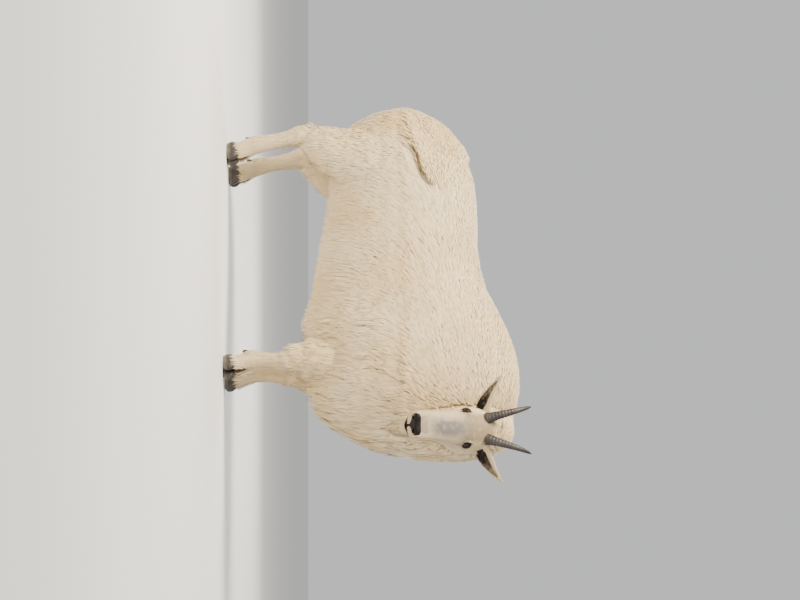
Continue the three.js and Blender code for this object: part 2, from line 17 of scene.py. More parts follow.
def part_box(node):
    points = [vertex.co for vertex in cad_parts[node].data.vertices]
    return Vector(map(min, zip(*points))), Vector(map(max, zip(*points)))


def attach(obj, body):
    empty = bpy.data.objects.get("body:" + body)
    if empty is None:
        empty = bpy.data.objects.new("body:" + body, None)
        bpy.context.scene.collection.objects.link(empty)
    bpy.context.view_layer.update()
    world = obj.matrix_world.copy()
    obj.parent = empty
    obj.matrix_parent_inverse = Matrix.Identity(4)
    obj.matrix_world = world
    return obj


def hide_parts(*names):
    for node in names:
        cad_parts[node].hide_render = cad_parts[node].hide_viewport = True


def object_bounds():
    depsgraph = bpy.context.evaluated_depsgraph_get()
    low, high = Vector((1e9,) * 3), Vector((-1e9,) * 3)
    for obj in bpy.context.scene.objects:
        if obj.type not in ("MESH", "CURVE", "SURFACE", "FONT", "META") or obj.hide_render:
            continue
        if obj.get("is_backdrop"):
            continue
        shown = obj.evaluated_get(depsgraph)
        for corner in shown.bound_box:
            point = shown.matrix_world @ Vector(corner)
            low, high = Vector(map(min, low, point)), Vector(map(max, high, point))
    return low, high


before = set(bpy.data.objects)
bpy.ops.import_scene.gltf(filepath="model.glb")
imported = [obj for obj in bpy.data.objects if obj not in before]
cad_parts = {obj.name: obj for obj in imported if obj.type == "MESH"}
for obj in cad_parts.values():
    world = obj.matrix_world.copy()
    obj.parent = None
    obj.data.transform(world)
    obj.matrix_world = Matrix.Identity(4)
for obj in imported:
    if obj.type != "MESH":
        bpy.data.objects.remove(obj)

MM = 0.001  # the sizes below are in millimetres, as on the goat's own drawing
cad_low, cad_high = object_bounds()
print("frame", [round(v, 3) for v in (*cad_low, *cad_high)])

# %% [markdown]
# The head is turned and nodded, so it has a frame of its own: X runs from the back of the skull to the
# nose and Z comes out of the forehead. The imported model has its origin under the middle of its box,
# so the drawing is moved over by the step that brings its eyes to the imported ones.

# %% Places
HEAD_AT = Vector((570, -118, 837))
HEAD_TURN, HEAD_NOD, HEAD_TILT = (math.radians(v) for v in (-77.5, 49, -1))
HEAD = (Matrix.Translation(HEAD_AT) @ Matrix.Rotation(HEAD_TURN, 4, "Z")
        @ Matrix.Rotation(HEAD_NOD, 4, "Y") @ Matrix.Rotation(HEAD_TILT, 4, "X"))
EYE_AT = np.array([114.0, 47.0, 13.0])
EYE_RADIUS = 15
FORE_X, FORE_Y = 318, 66
HIND_X, HIND_Y = -418, 84
HOOF_TOP = 42
SIDES = {"right": -1, "left": 1}


def box_middle(node):
    low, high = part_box(node)
    return (low + high) / 2


eyes_middle = (box_middle("eye_left") + box_middle("eye_right")) / 2
SHIFT = np.array(eyes_middle) / MM - np.array(HEAD @ Vector((EYE_AT[0], 0, EYE_AT[2])))
IN_FRAME = Matrix.Diagonal((MM, MM, MM, 1)) @ Matrix.Translation(SHIFT)
print("shift", SHIFT.round(2))


def times(matrix, points):
    """Points under a matrix, all at once."""
    m = np.array(matrix)
    return np.asarray(points, float) @ m[:3, :3].T + m[:3, 3]


def to_metres(points):
    """From the goat's drawing to the frame."""
    return (np.asarray(points, float) + SHIFT) * MM


def to_drawing(points):
    return np.asarray(points, float) / MM - SHIFT


HEAD_BACK = HEAD.inverted()


def unit(vectors):
    return vectors / np.maximum(np.linalg.norm(vectors, axis=-1, keepdims=True), 1e-9)


def smooth(value, low, high):
    """0 below low, 1 above high and smooth between."""
    t = np.clip((np.asarray(value, float) - low) / (high - low), 0, 1)
    return t * t * (3 - 2 * t)


# %% [markdown]
# Every rounded form of the animal is drawn along a line. A ring at each station has a size to the side,
# up and down, and a smooth curve joins the stations. A UV sphere from bmesh is then pulled over the
# rings. It closes at both ends by itself, which a row of cylinders would not.

# %% Lofts
def curve(points, t):
    """A smooth line through points, read at t from 0 to 1."""
    points = np.asarray(points, float)
    ends = np.concatenate([2 * points[:1] - points[1:2], points, 2 * points[-1:] - points[-2:-1]])
    place = np.clip(np.asarray(t, float), 0, 1) * (len(points) - 1)
    i = np.minimum(place.astype(int), len(points) - 2)
    w = (place - i)[..., None]
    a, b, c, d = ends[i], ends[i + 1], ends[i + 2], ends[i + 3]
    leave, arrive = (c - a) / 2, (d - b) / 2
    square = 3 * (c - b) - 2 * leave - arrive
    cube = 2 * (b - c) + leave + arrive
    return b + leave * w + square * w**2 + cube * w**3


def faced_outwards(mesh):
    """Turns a closed bmesh's faces outwards. The tool goes by the faces' normals, so these come first."""
    mesh.normal_update()
    bmesh.ops.recalc_face_normals(mesh, faces=mesh.faces)
    return mesh


class Loft:
    """A form along a line. At angle 0 a ring point is on the right, at a quarter turn it is on top."""

    def __init__(self, rings, upward=(0, 0, 1), ends=(0, 0), square=2.0, narrow=0.0, bulges=(), inset=0.0):
        self.line = [ring[0] for ring in rings]
        self.sizes = [ring[1:] for ring in rings]
        self.upward = np.array(upward, float)
        self.ends, self.square, self.narrow = ends, square, narrow
        self.bulges, self.inset = bulges, inset

    def grown(self, by):
        """The same form with its surface moved outwards."""
        rings = [(at, *size) for at, size in zip(self.line, self.sizes)]
        return Loft(rings, self.upward, self.ends, self.square, self.narrow, self.bulges, self.inset - by)

    def axes(self, s):
        step = 1e-4
        ahead = unit(curve(self.line, np.minimum(s + step, 1)) - curve(self.line, np.maximum(s - step, 0)))
        up = unit(self.upward - (ahead @ self.upward)[..., None] * ahead)
        return ahead, up, np.cross(ahead, up)

    def plain(self, s, angle):
        _, up, side = self.axes(s)
        size = curve(self.sizes, s) - self.inset
        power = 2 / self.square
        across = np.sign(np.cos(angle)) * np.abs(np.cos(angle)) ** power
        height = np.sign(np.sin(angle)) * np.abs(np.sin(angle)) ** power
        start, end = (np.where(e > 0, np.clip(d / max(e, 1e-9), 0, 1), 1)
                      for e, d in zip(self.ends, (s, 1 - s)))
        draw = np.sqrt(np.maximum(0, 1 - (1 - start) ** 2)) * np.sqrt(np.maximum(0, 1 - (1 - end) ** 2))
        wide = size[..., 0] * across * (1 - self.narrow * np.maximum(0, height)) * draw
        tall = np.where(height > 0, size[..., 1], size[..., 2]) * height * draw
        return curve(self.line, s) + side * wide[..., None] + up * tall[..., None]

    def normal(self, s, angle):
        step = 0.01
        low, high = np.maximum(0.002, s - step), np.minimum(0.998, s + step)
        along = self.plain(high, angle) - self.plain(low, angle)
        around = self.plain(s, angle + step) - self.plain(s, angle - step)
        return unit(np.cross(along, around))

    def place(self, s, angle):
        at = self.plain(s, angle)
        swell = np.zeros(len(at))
        for centre, reach, rise in self.bulges:
            swell += rise * np.exp(-((at - np.array(centre)) ** 2).sum(-1) / reach**2)
        return at + self.normal(s, angle) * swell[:, None]

    def bmesh(self, around=32, along=24, matrix=Matrix()):
        """The form as a closed bmesh, in metres."""
        mesh = bmesh.new()
        bmesh.ops.create_uvsphere(mesh, u_segments=around, v_segments=along, radius=1)
        ball = np.array([v.co for v in mesh.verts])
        polar = np.arccos(np.clip(ball[:, 2], -1, 1)) / math.pi
        s = (polar + (1 - np.cos(math.pi * polar)) / 2) / 2
        points = self.place(s, np.arctan2(ball[:, 1], ball[:, 0]))
        pole = (polar < 1e-4) | (polar > 1 - 1e-4)
        points[pole] = curve(self.line, np.round(polar[pole]))
        for vert, point in zip(mesh.verts, to_metres(times(matrix, points))):
            vert.co = point
        return faced_outwards(mesh)


# %% [markdown]
# The trunk is a deep barrel with a hump over the shoulders, and a thick neck rises out of its front. It
# could be sculpted by hand, but rings of named sizes can be read and changed one by one. The rings are
# those of the frame's solids, over the coat. The skin lies inside them by the depth of the coat: deep on
# the back, the neck and the upper legs, and almost nothing on the face and the shanks.

# %% Torso and neck
TORSO_AXIS = 600
TORSO_DEPTH, NECK_DEPTH, LEG_DEPTH, TAIL_DEPTH, BEARD_DEPTH = 26, 27, 20, 12, 13


def torso_ring(x, side, top, bottom):
    return (x, 0, TORSO_AXIS), side, top - TORSO_AXIS, TORSO_AXIS - bottom


TORSO = Loft([
    torso_ring(-578, 130, 716, 440), torso_ring(-500, 158, 766, 392), torso_ring(-430, 168, 797, 378),
    torso_ring(-350, 172, 826, 372), torso_ring(-220, 178, 836, 360), torso_ring(-80, 186, 834, 335),
    torso_ring(60, 192, 859, 312), torso_ring(180, 192, 914, 296), torso_ring(300, 188, 950, 300),
    torso_ring(410, 178, 950, 322), torso_ring(500, 152, 912, 350), torso_ring(594, 122, 790, 424),
], ends=(0.12, 0.14), square=2.25, narrow=0.22, inset=TORSO_DEPTH, bulges=[
    *[((330, 190 * side, 600), 130, 14) for side in (1, -1)],
    *[((-400, 170 * side, 520), 140, 16) for side in (1, -1)],
])
NECK = Loft([
    ((330, 0, 690), 150, 256, 220), ((440, 3, 715), 136, 240, 235), ((520, -18, 745), 112, 214, 212),
    ((556, -66, 776), 98, 162, 176), ((568, -124, 790), 84, 96, 134),
], ends=(0.1, 0.12), square=2.1, narrow=0.12, inset=NECK_DEPTH)
TAIL = Loft([
    ((-500, 0, 680), 30, 20, 40), ((-546, -4, 668), 34, 24, 36), ((-572, -8, 626), 33, 26, 26),
    ((-580, -12, 578), 28, 22, 20), ((-582, -14, 536), 12, 9, 8),
], upward=(-1, 0, 0), ends=(0.1, 0.2), inset=TAIL_DEPTH)
print("stations of torso, neck and tail", [len(loft.line) for loft in (TORSO, NECK, TAIL)])


# %% [markdown]
# The upper legs are wide columns of wool. The shanks below them are thin, and knee, hock and pastern
# are gentle swellings. Each leg is two lofts that reach into each other, so that the remesh fuses them
# without a seam. One function makes the right and the left leg.

# %% Legs
def fore_upper(side):
    return Loft([
        ((FORE_X - 4, 74 * side, 500), 66, 84, 92), ((FORE_X - 4, 74 * side, 420), 66, 84, 90),
        ((FORE_X - 2, 70 * side, 340), 60, 78, 82), ((FORE_X - 2, 67 * side, 290), 54, 68, 72),
        ((FORE_X - 6, 66 * side, 250), 52, 56, 62), ((FORE_X - 8, 66 * side, 214), 48, 50, 56),
    ], upward=(1, 0, 0), ends=(0, 0.15), inset=LEG_DEPTH)


def hind_upper(side):
    return Loft([
        ((HIND_X + 50, 92 * side, 600), 74, 110, 118), ((HIND_X + 46, 94 * side, 500), 74, 108, 122),
        ((HIND_X + 26, 92 * side, 410), 64, 92, 106), ((HIND_X - 18, 88 * side, 330), 50, 66, 74),
        ((HIND_X - 50, 86 * side, 280), 38, 44, 46), ((HIND_X - 52, 85 * side, 240), 33, 35, 38),
    ], upward=(1, 0, 0), ends=(0, 0.1), inset=LEG_DEPTH - 5)


SHANK_DEPTH = 5


def fore_shank(side):
    y = FORE_Y * side
    return Loft([
        ((FORE_X - 4, y, 290), 34, 36, 38), ((FORE_X - 3, y, 245), 33, 36, 35),
        ((FORE_X, y, 205), 31, 34, 33), ((FORE_X, y, 165), 26, 27, 28),
        ((FORE_X - 2, y, 128), 26, 27, 29), ((FORE_X - 4, y, 98), 30, 31, 35),
        ((FORE_X + 6, y, 68), 31, 31, 31), ((FORE_X + 13, y, 44), 35, 37, 35),
        ((FORE_X + 15, y, 34), 35, 37, 35),
    ], upward=(1, 0, 0), ends=(0, 0.06), inset=SHANK_DEPTH)


def hind_shank(side):
    y = HIND_Y * side
    return Loft([
        ((HIND_X - 52, y, 300), 31, 35, 38), ((HIND_X - 53, y, 262), 31, 34, 38),
        ((HIND_X - 48, y, 225), 29, 31, 31), ((HIND_X - 36, y, 165), 26, 27, 28),
        ((HIND_X - 28, y, 128), 27, 28, 30), ((HIND_X - 22, y, 98), 30, 31, 35),
        ((HIND_X - 8, y, 68), 31, 31, 31), ((HIND_X + 3, y, 44), 35, 37, 35),
        ((HIND_X + 5, y, 34), 35, 37, 35),
    ], upward=(1, 0, 0), ends=(0, 0.06), inset=SHANK_DEPTH)


# %% [markdown]
# The head is a wedge: wide at the eyes, narrow along the nose and blunt at the muzzle. One loft gives
# the wedge. Round bulges on it give the brows, cheeks and lips, which rings alone would make too even.
# The ears are leaves, and each has a second, smaller leaf that is later cut out of it as the cup.

# %% Head
FACE_DEPTH = 3


def head_ring(x, side, up, down, z=0):
    return (x, 0, z), side, up, down


SKULL = Loft([
    head_ring(-14, 60, 38, 62), head_ring(30, 67, 48, 92), head_ring(74, 63, 50, 104),
    head_ring(116, 55, 41, 98), head_ring(160, 53, 30, 84), head_ring(205, 47, 21, 72),
    head_ring(245, 43, 15, 63), head_ring(280, 43, 9, 68), head_ring(302, 42, 6, 68, -2),
    head_ring(316, 36, 2, 62, -4),
], ends=(0.1, 0.08), square=2.3, narrow=0.1, inset=FACE_DEPTH, bulges=[
    b for side in (1, -1) for b in (
        ((104, 54 * side, 30), 22, 6), ((120, 58 * side, 6), 20, -6), ((92, 60 * side, -55), 52, 12),
        ((306, 22 * side, -8), 17, 3), ((304, 26 * side, -36), 15, 4), ((306, 14 * side, -60), 16, 3),
    )
])
BEARD = Loft([
    ((222, 0, -34), 30, 40, 58), ((238, 0, -74), 33, 38, 58), ((254, 0, -108), 28, 28, 42),
    ((270, 0, -134), 16, 14, 20),
], upward=(1, 0, 0), ends=(0.1, 0.2), inset=BEARD_DEPTH)
print("stations of skull and beard", len(SKULL.line), len(BEARD.line))

# %% Ears
EAR_ROOT = (34, 56, 4)
# each row: how far from the root, then the size to the side, up and down
EAR_ROWS = [
    (0, -8, -4, 33, 14, 13), (0, 16, 6, 34, 13, 12), (-2, 40, 20, 29, 10, 10),
    (-6, 66, 36, 20, 7, 8), (-11, 90, 54, 12, 4, 6), (-17, 110, 70, 4.5, 3.5, 3.5),
]
CUP_ROWS = [
    (8, 4, -8, 20, 16, 12), (9, 26, 3, 24, 15, 13), (6, 47, 17, 20, 13, 10),
    (2, 70, 34, 13, 10, 7), (-4, 90, 53, 7, 8, 4), (-8, 99, 60, 2.5, 5, 1.5),
]


def ear(side, rows=EAR_ROWS, inset=1):
    x, y, z = EAR_ROOT
    rings = [((x + dx, (y + dy) * side, z + dz), wide, up, down) for dx, dy, dz, wide, up, down in rows]
    return Loft(rings, upward=(1, 0.2 * side, -0.1), ends=(0.1, 0.1), inset=inset)


def ear_cup(side):
    return ear(side, CUP_ROWS, 0)


# %% [markdown]
# A foot has two toes with a deep cleft between them, and the toes point a little outwards. Each foot
# has a frame of its own, so that claws, dewclaws and cleft are all placed in it in the same way.

# %% Feet
TOES_OUT = {"fore_right": 32, "fore_left": 12, "hind_right": 10, "hind_left": 10}
CLEFT_AT, CLEFT_SIZE = np.array((34, 0, 44)), np.array((30, 8, 50))


def foot_frame(leg, name, behind=0):
    """The frame of a foot: it stands under the shank, and its X points where the toes do."""
    x, y = (FORE_X + 18, FORE_Y) if leg == "fore" else (HIND_X + 10, HIND_Y)
    turn = math.radians(TOES_OUT[f"{leg}_{name}"]) * SIDES[name]
    return Matrix.Translation((x - behind, y * SIDES[name], 0)) @ Matrix.Rotation(turn, 4, "Z")


FOOT_FRAMES = {(leg, name): foot_frame(leg, name) for leg in ("fore", "hind") for name in SIDES}
print("feet", [f"{leg} {name}" for leg, name in FOOT_FRAMES])


# %% [markdown]
# The skin is one closed surface, because seams between head, neck and legs would show through the coat.
# The lofts of the body overlap, and a voxel remesh melts them into one surface, as clay is pressed
# together. The head is remeshed finer, since its lids and lips are small, and a Boolean joins the two.

# %% Helpers for meshes
def object_of(name, mesh, material=None):
    """A new object at the origin, from a bmesh or a mesh."""
    if isinstance(mesh, bmesh.types.BMesh):
        data = bpy.data.meshes.new(name)
        mesh.to_mesh(data)
        mesh.free()
    else:
        data = mesh
        data.name = name
    made = bpy.data.objects.new(name, data)
    bpy.context.scene.collection.objects.link(made)
    if material:
        data.materials.clear()
        data.materials.append(material)
    return made


def joined(name, parts):
    """One object from several bmeshes."""
    whole = bmesh.new()
    for part in parts:
        passing = bpy.data.meshes.new("passing")
        part.to_mesh(passing)
        part.free()
        whole.from_mesh(passing)
        bpy.data.meshes.remove(passing)
    return object_of(name, whole)


def applied(thing, *steps):
    """The object with its modifiers made real. A step is a modifier's kind and its settings."""
    for kind, settings in steps:
        modifier = thing.modifiers.new(kind.lower(), kind)
        for key, value in settings.items():
            setattr(modifier, key, value)
    bpy.context.view_layer.update()
    shown = thing.evaluated_get(bpy.context.evaluated_depsgraph_get())
    mesh = bpy.data.meshes.new_from_object(shown)
    thing.modifiers.clear()
    old, thing.data = thing.data, mesh
    bpy.data.meshes.remove(old)
    return thing


def remove(thing):
    mesh = thing.data
    bpy.data.objects.remove(thing)
    bpy.data.meshes.remove(mesh)


def cut(thing, cutter, how="DIFFERENCE", solver="EXACT"):
    applied(thing, ("BOOLEAN", {"operation": how, "object": cutter, "solver": solver}))
    remove(cutter)
    return thing


def vertices(mesh):
    co = np.empty(len(mesh.vertices) * 3, np.float32)
    mesh.vertices.foreach_get("co", co)
    return co.reshape(-1, 3).astype(float)


def remesh(size):
    return "REMESH", {"mode": "VOXEL", "voxel_size": size * MM, "use_smooth_shade": True}


# %% [markdown]
# The body's lofts are joined and remeshed. The cleft of each foot is an ellipsoid that is cut out
# afterwards, because a remesh of this size would close so narrow a gap again.

# %% Body skin
BODY_VOXEL = 7
body_lofts = [TORSO, NECK, TAIL]
for side in SIDES.values():
    body_lofts += [fore_upper(side), hind_upper(side), fore_shank(side), hind_shank(side)]
skin = joined("skin", [loft.bmesh() for loft in body_lofts])
applied(skin, remesh(BODY_VOXEL), ("SMOOTH", {"factor": 0.5, "iterations": 3}))
for frame_of_foot in FOOT_FRAMES.values():
    cleft = bmesh.new()
    bmesh.ops.create_uvsphere(cleft, u_segments=24, v_segments=16, radius=1)
    size = Matrix.Translation(CLEFT_AT) @ Matrix.Diagonal((*CLEFT_SIZE, 1))
    bmesh.ops.transform(cleft, matrix=IN_FRAME @ frame_of_foot @ size, verts=cleft.verts)
    cut(skin, object_of("cleft", cleft), solver="MANIFOLD")
print("body skin", len(skin.data.polygons), "faces")

# %% [markdown]
# The head starts from the skull's loft. A chin, the beard and the ears are joined to it, and so is a
# thin shell over each eye, out of which the lids will be cut.

# %% Head skin
HEAD_VOXEL = 2.2
LID_RADIUS = EYE_RADIUS + 2.2


def head_ball(at, radii, turn=Matrix(), segments=24):
    """An ellipsoid in the head's frame, turned about its own middle."""
    mesh = bmesh.new()
    bmesh.ops.create_uvsphere(mesh, u_segments=segments, v_segments=segments // 2, radius=1)
    matrix = HEAD @ Matrix.Translation(at) @ turn @ Matrix.Diagonal((*radii, 1))
    bmesh.ops.transform(mesh, matrix=IN_FRAME @ matrix, verts=mesh.verts)
    return mesh


def mirrored(at, side):
    return at[0], at[1] * side, at[2]


CHIN_AT, CHIN_SIZE = (295, 0, -64), (20, 25, 17)
head_parts = [SKULL.bmesh(64, 48, HEAD), BEARD.bmesh(24, 16, HEAD), head_ball(CHIN_AT, CHIN_SIZE)]
for side in (1, -1):
    head_parts.append(ear(side).bmesh(24, 24, HEAD))
    head_parts.append(head_ball(mirrored(EYE_AT, side), (LID_RADIUS,) * 3))
head = joined("head_skin", head_parts)
applied(head, remesh(HEAD_VOXEL), ("SMOOTH", {"factor": 0.5, "iterations": 2}))
print("head before its openings", len(head.data.polygons), "faces")

# %% [markdown]
# A goat's lids leave an almond opening that slants down to the nose. Each nostril is a comma, made of a
# flat ellipsoid and an upright one beside it. Boolean cuts give these openings sharp rims, which a
# displacement would not, and the hollow of each ear is cut in the same way.

# %% Lids, nostrils and ear cups
EYE_ROOM = 0.3
LIDS_APART, LIDS_SIZE, LIDS_SLANT = np.array((4.0, 12.0, 8.0)), (13.5, 12, 8.5), 0.25
NOSTRIL_AT, NOSTRIL_SIZE, NOSTRIL_TURN = (316, 19, -13), (9, 9, 3.6), -0.6
WING_AT, WING_SIZE, WING_TURN = (312, 28, -17), (8, 4, 7), 0.3

cutters = []
for side in (1, -1):
    almond = Matrix.Rotation(LIDS_SLANT, 4, "Y")
    flat, upright = (Matrix.Rotation(turn * side, 4, "X") for turn in (NOSTRIL_TURN, WING_TURN))
    cutters += [
        head_ball(mirrored(EYE_AT, side), (EYE_RADIUS + EYE_ROOM,) * 3, segments=48),
        head_ball(mirrored(EYE_AT + LIDS_APART, side), LIDS_SIZE, almond),
        head_ball(mirrored(NOSTRIL_AT, side), NOSTRIL_SIZE, flat),
        head_ball(mirrored(WING_AT, side), WING_SIZE, upright),
    ]
for cutter in cutters:
    cut(head, object_of("cutter", cutter), solver="MANIFOLD")
for side in (1, -1):
    cut(head, object_of("cup", ear_cup(side).bmesh(24, 24, HEAD)), solver="MANIFOLD")
print("head with its openings", len(head.data.polygons), "faces")

# %% [markdown]
# The mouth is a line that rises a little to its corners. A bent slab follows it. Only the outer rim of
# the slab is used, so that the groove between the lips has the same small depth all along.

# %% Mouth
MOUTH_FROM, MOUTH_LONG, MOUTH_REACH = 262, 70, 60
MOUTH_DEPTH, MOUTH_WIDE = 5, 3.6


def mouth_height(x, y):
    return -50 + 0.09 * (332 - x) + 0.003 * y * y


def mouth_cutter():
    """A slab that bends up at the corners of the mouth."""
    mesh = bmesh.new()
    bmesh.ops.create_grid(mesh, x_segments=14, y_segments=20, size=1)
    for vert in mesh.verts:
        x, y = MOUTH_FROM + MOUTH_LONG * (vert.co.x + 1) / 2, MOUTH_REACH * vert.co.y
        vert.co = (x, y, mouth_height(x, y) - MOUTH_WIDE / 2)
    bmesh.ops.solidify(mesh, geom=mesh.faces, thickness=MOUTH_WIDE)
    bmesh.ops.transform(mesh, matrix=IN_FRAME @ HEAD, verts=mesh.verts)
    return faced_outwards(mesh)


mouth = object_of("mouth", mouth_cutter())
cut(mouth, object_of("muzzle_core", SKULL.grown(-MOUTH_DEPTH).bmesh(64, 48, HEAD)), solver="MANIFOLD")
cut(head, mouth, solver="MANIFOLD")
print("head skin", len(head.data.polygons), "faces")

# %% One skin
cut(skin, head, how="UNION", solver="MANIFOLD")
skin.name = skin.data.name = "skin"
skin.data.shade_smooth()
print("skin", len(skin.data.polygons), "faces")

# %% [markdown]
# The coat isn't the same all over: it is long and wavy on chest, belly and upper legs, plush on the
# back, and very short on face and shanks. Each place on the skin is shared out among the nearest
# lofts, with soft shares near their borders, and every measure of the coat is mixed by those shares.

# %% Regions of the coat
REGIONS = {
    "torso": [TORSO],
    "neck": [NECK],
    "foreleg": [fore_upper(side) for side in SIDES.values()],
    "hindleg": [hind_upper(side) for side in SIDES.values()],
    "shank": [loft(side) for side in SIDES.values() for loft in (fore_shank, hind_shank)],
    "tail": [TAIL],
    "head": [SKULL],
    "ear": [ear(side) for side in SIDES.values()],
    "beard": [BEARD],
}
REGION_NAMES = list(REGIONS)
ON_HEAD = ("head", "ear", "beard")
BORDER = 12  # how softly two regions fade into each other


def surface_of(loft, region, count=56):
    """Points spread over a loft, on the drawing."""
    s, angle = np.meshgrid(np.linspace(0.01, 0.99, count), np.linspace(0, 2 * math.pi, count, endpoint=False))
    points = loft.place(s.ravel(), angle.ravel())
    return times(HEAD, points) if region in ON_HEAD else points


def tree_of(points):
    tree = KDTree(len(points))
    for i, point in enumerate(points):
        tree.insert(point, i)
    tree.balance()
    return tree


def far_from(tree, points):
    return np.array([tree.find(point)[2] for point in points])


def share_in(shares, *names):
    """What share of each point belongs to the named regions together."""
    return shares[:, [REGION_NAMES.index(name) for name in names]].sum(1)


def shares_of(points):
    """For each point, what share of it belongs to each region."""
    far = np.stack([
        far_from(tree_of(np.concatenate([surface_of(loft, region) for loft in lofts])), points)
        for region, lofts in REGIONS.items()
    ], axis=1)
    near = np.exp(-(far - far.min(axis=1, keepdims=True)) / BORDER)
    return near / near.sum(axis=1, keepdims=True)


skin_at = to_drawing(vertices(skin.data))
skin_normal = np.empty(len(skin_at) * 3, np.float32)
skin.data.vertices.foreach_get("normal", skin_normal)
skin_normal = skin_normal.reshape(-1, 3).astype(float)
skin_shares = shares_of(skin_at)
for i, region in enumerate(REGION_NAMES):
    print(region, "has", int((skin_shares.argmax(1) == i).sum()), "of the skin's points")


# %% [markdown]
# The lie of the coat is a direction at each place. Hair runs back along the spine, slants down the
# flanks, falls straight at throat, chest and legs, runs up the face from the nose, and out along the ears.

# %% Lie of the coat
def vectors(x, y, z):
    return np.stack(np.broadcast_arrays(x, y, z), axis=-1).astype(float)


def torso_lie(at):
    high, chest = smooth(at[:, 2], 480, 880), smooth(at[:, 0], 360, 560)
    return vectors(-0.4 - 0.8 * high + 0.35 * chest, 0, -1 + 0.8 * high - 0.4 * chest)


def neck_lie(at):
    high = smooth(at[:, 2], 760, 930)
    return vectors(-0.35 - 0.8 * high, 0.1, -1 + 0.75 * high)


def leg_lie(at):
    return vectors(np.full(len(at), -0.12), 0, -1)


def turned_by_head(local):
    return local @ np.array(HEAD)[:3, :3].T


def head_lie(at):
    local = times(HEAD_BACK, at)
    low = smooth(-local[:, 2], -10, 70)
    chin = smooth(local[:, 0], 262, 290) * smooth(-local[:, 2], 38, 56)
    outwards = 0.25 * np.sign(local[:, 1]) * (1 - low)
    return turned_by_head(vectors(-1 + 0.8 * chin, outwards, -0.5 * low - chin))


def ear_lie(at):
    local = times(HEAD_BACK, at)
    return turned_by_head(vectors(-0.12, 0.86 * np.sign(local[:, 1]), 0.5))


def beard_lie(at):
    return vectors(np.full(len(at), 0.1), -0.15, -1)


LIES = {"torso": torso_lie, "neck": neck_lie, "foreleg": leg_lie, "hindleg": leg_lie, "shank": leg_lie,
        "tail": leg_lie, "head": head_lie, "ear": ear_lie, "beard": beard_lie}


def waves(at, long, seed):
    """A smooth field between about -1 and 1 that changes over some length."""
    random = np.random.default_rng(seed)
    total = np.zeros(len(at))
    for _ in range(5):
        way = random.normal(size=3)
        way *= 2 * math.pi / long / np.linalg.norm(way) * random.uniform(0.6, 1.5)
        total += np.sin(at @ way + random.uniform(0, 2 * math.pi))
    return total / 3


# %% [markdown]
# The goat has a tan forehead, a grey patch on the bridge of the nose, a black nose pad, dark lips, eye
# rims and ear cups, and a yellow-brown stain on the rump and the back of the thighs. The grey over the
# front of the face is partly its own greyish hair and partly painted shade, and the clefts of the feet
# are painted black as shade between the toes. They could be painted on a picture, but soft masks worked
# out from places need no picture file. Skin and coat ask the same functions, so their markings agree.

# %% Markings
PAD_OUTLINE = np.array([(14, 30), (2, 33), (-6, 34), (-14, 33), (-20, 29), (-27, 11), (-34, 4),
                        (-46, 3.4), (-52, -3)], float)  # height and half width
PAD_FROM = 291
RUMP_EDGE = np.array([(600, -400), (620, -377), (641, -300), (660, -268), (678, -258), (704, -270),
                      (735, -318), (765, -372), (800, -420), (840, -450)], float)  # height, place along
RUMP_EDGE_LOW, WELL_AHEAD = 606, -60


def behind_rump_edge(at):
    """How far a place lies behind the step in the coat over the hip, in millimetres."""
    edge = np.interp(at[:, 2], RUMP_EDGE[:, 0], RUMP_EDGE[:, 1])
    return np.where(at[:, 2] > RUMP_EDGE_LOW, edge - at[:, 0], WELL_AHEAD)


def pad_mask(local):
    x, y, z = local.T
    wide = np.interp(-z, -PAD_OUTLINE[:, 0], PAD_OUTLINE[:, 1])
    start = PAD_FROM + 0.012 * y * y
    return smooth(wide - np.abs(y), -1.2, 1.2) * smooth(x, start - 2, start + 2)


def pad_haired(x):
    """How much of the nose pad's top is covered with short hair."""
    return 1 - smooth(x, PAD_FROM + 5, PAD_FROM + 13)


def mouth_gap(x, y, z):
    """How far a place is from the line of the mouth. The dark rim is wider on the lower lip."""
    over = z - mouth_height(x, y)
    return np.where(over > 0, over, -0.6 * over) + 0.5 * np.maximum(0, MOUTH_FROM - x)


def lids_gap(local):
    """1 on the edge of the opening between the lids, and more outside it."""
    mirrored_off = local * (1, 0, 1) + np.abs(local) * (0, 1, 0) - EYE_AT - LIDS_APART
    return np.linalg.norm(times(Matrix.Rotation(-LIDS_SLANT, 4, "Y"), mirrored_off) / LIDS_SIZE, axis=1)


def inside(tree_of_faces, points, reach):
    """Whether points lie within a reach of a surface."""
    return np.array([tree_of_faces.find_nearest(point, reach)[0] is not None for point in points])


CUPS = []
for side in SIDES.values():
    shape = ear_cup(side).bmesh(32, 32, HEAD)
    bmesh.ops.transform(shape, matrix=IN_FRAME.inverted(), verts=shape.verts)
    CUPS.append(BVHTree.FromBMesh(shape))
    shape.free()


def in_cup(points, reach=1.2):
    return np.any([inside(tree, points, reach) for tree in CUPS], axis=0)


def in_cleft(points, grown):
    """Whether points lie in the cleft of a foot, made larger by some millimetres."""
    found = np.zeros(len(points), bool)
    for frame_of_foot in FOOT_FRAMES.values():
        local = times(frame_of_foot.inverted(), points)
        found |= np.linalg.norm((local - CLEFT_AT) / (CLEFT_SIZE + grown), axis=1) < 1
    return found


def tan_marks(x, y, z):
    top = smooth(z, -12, 16)
    forehead = smooth(x, 8, 50) * (1 - smooth(x, 118, 168)) * top * (1 - smooth(np.abs(y), 30, 56))
    return forehead + 0.35 * smooth(x, 236, 262) * top


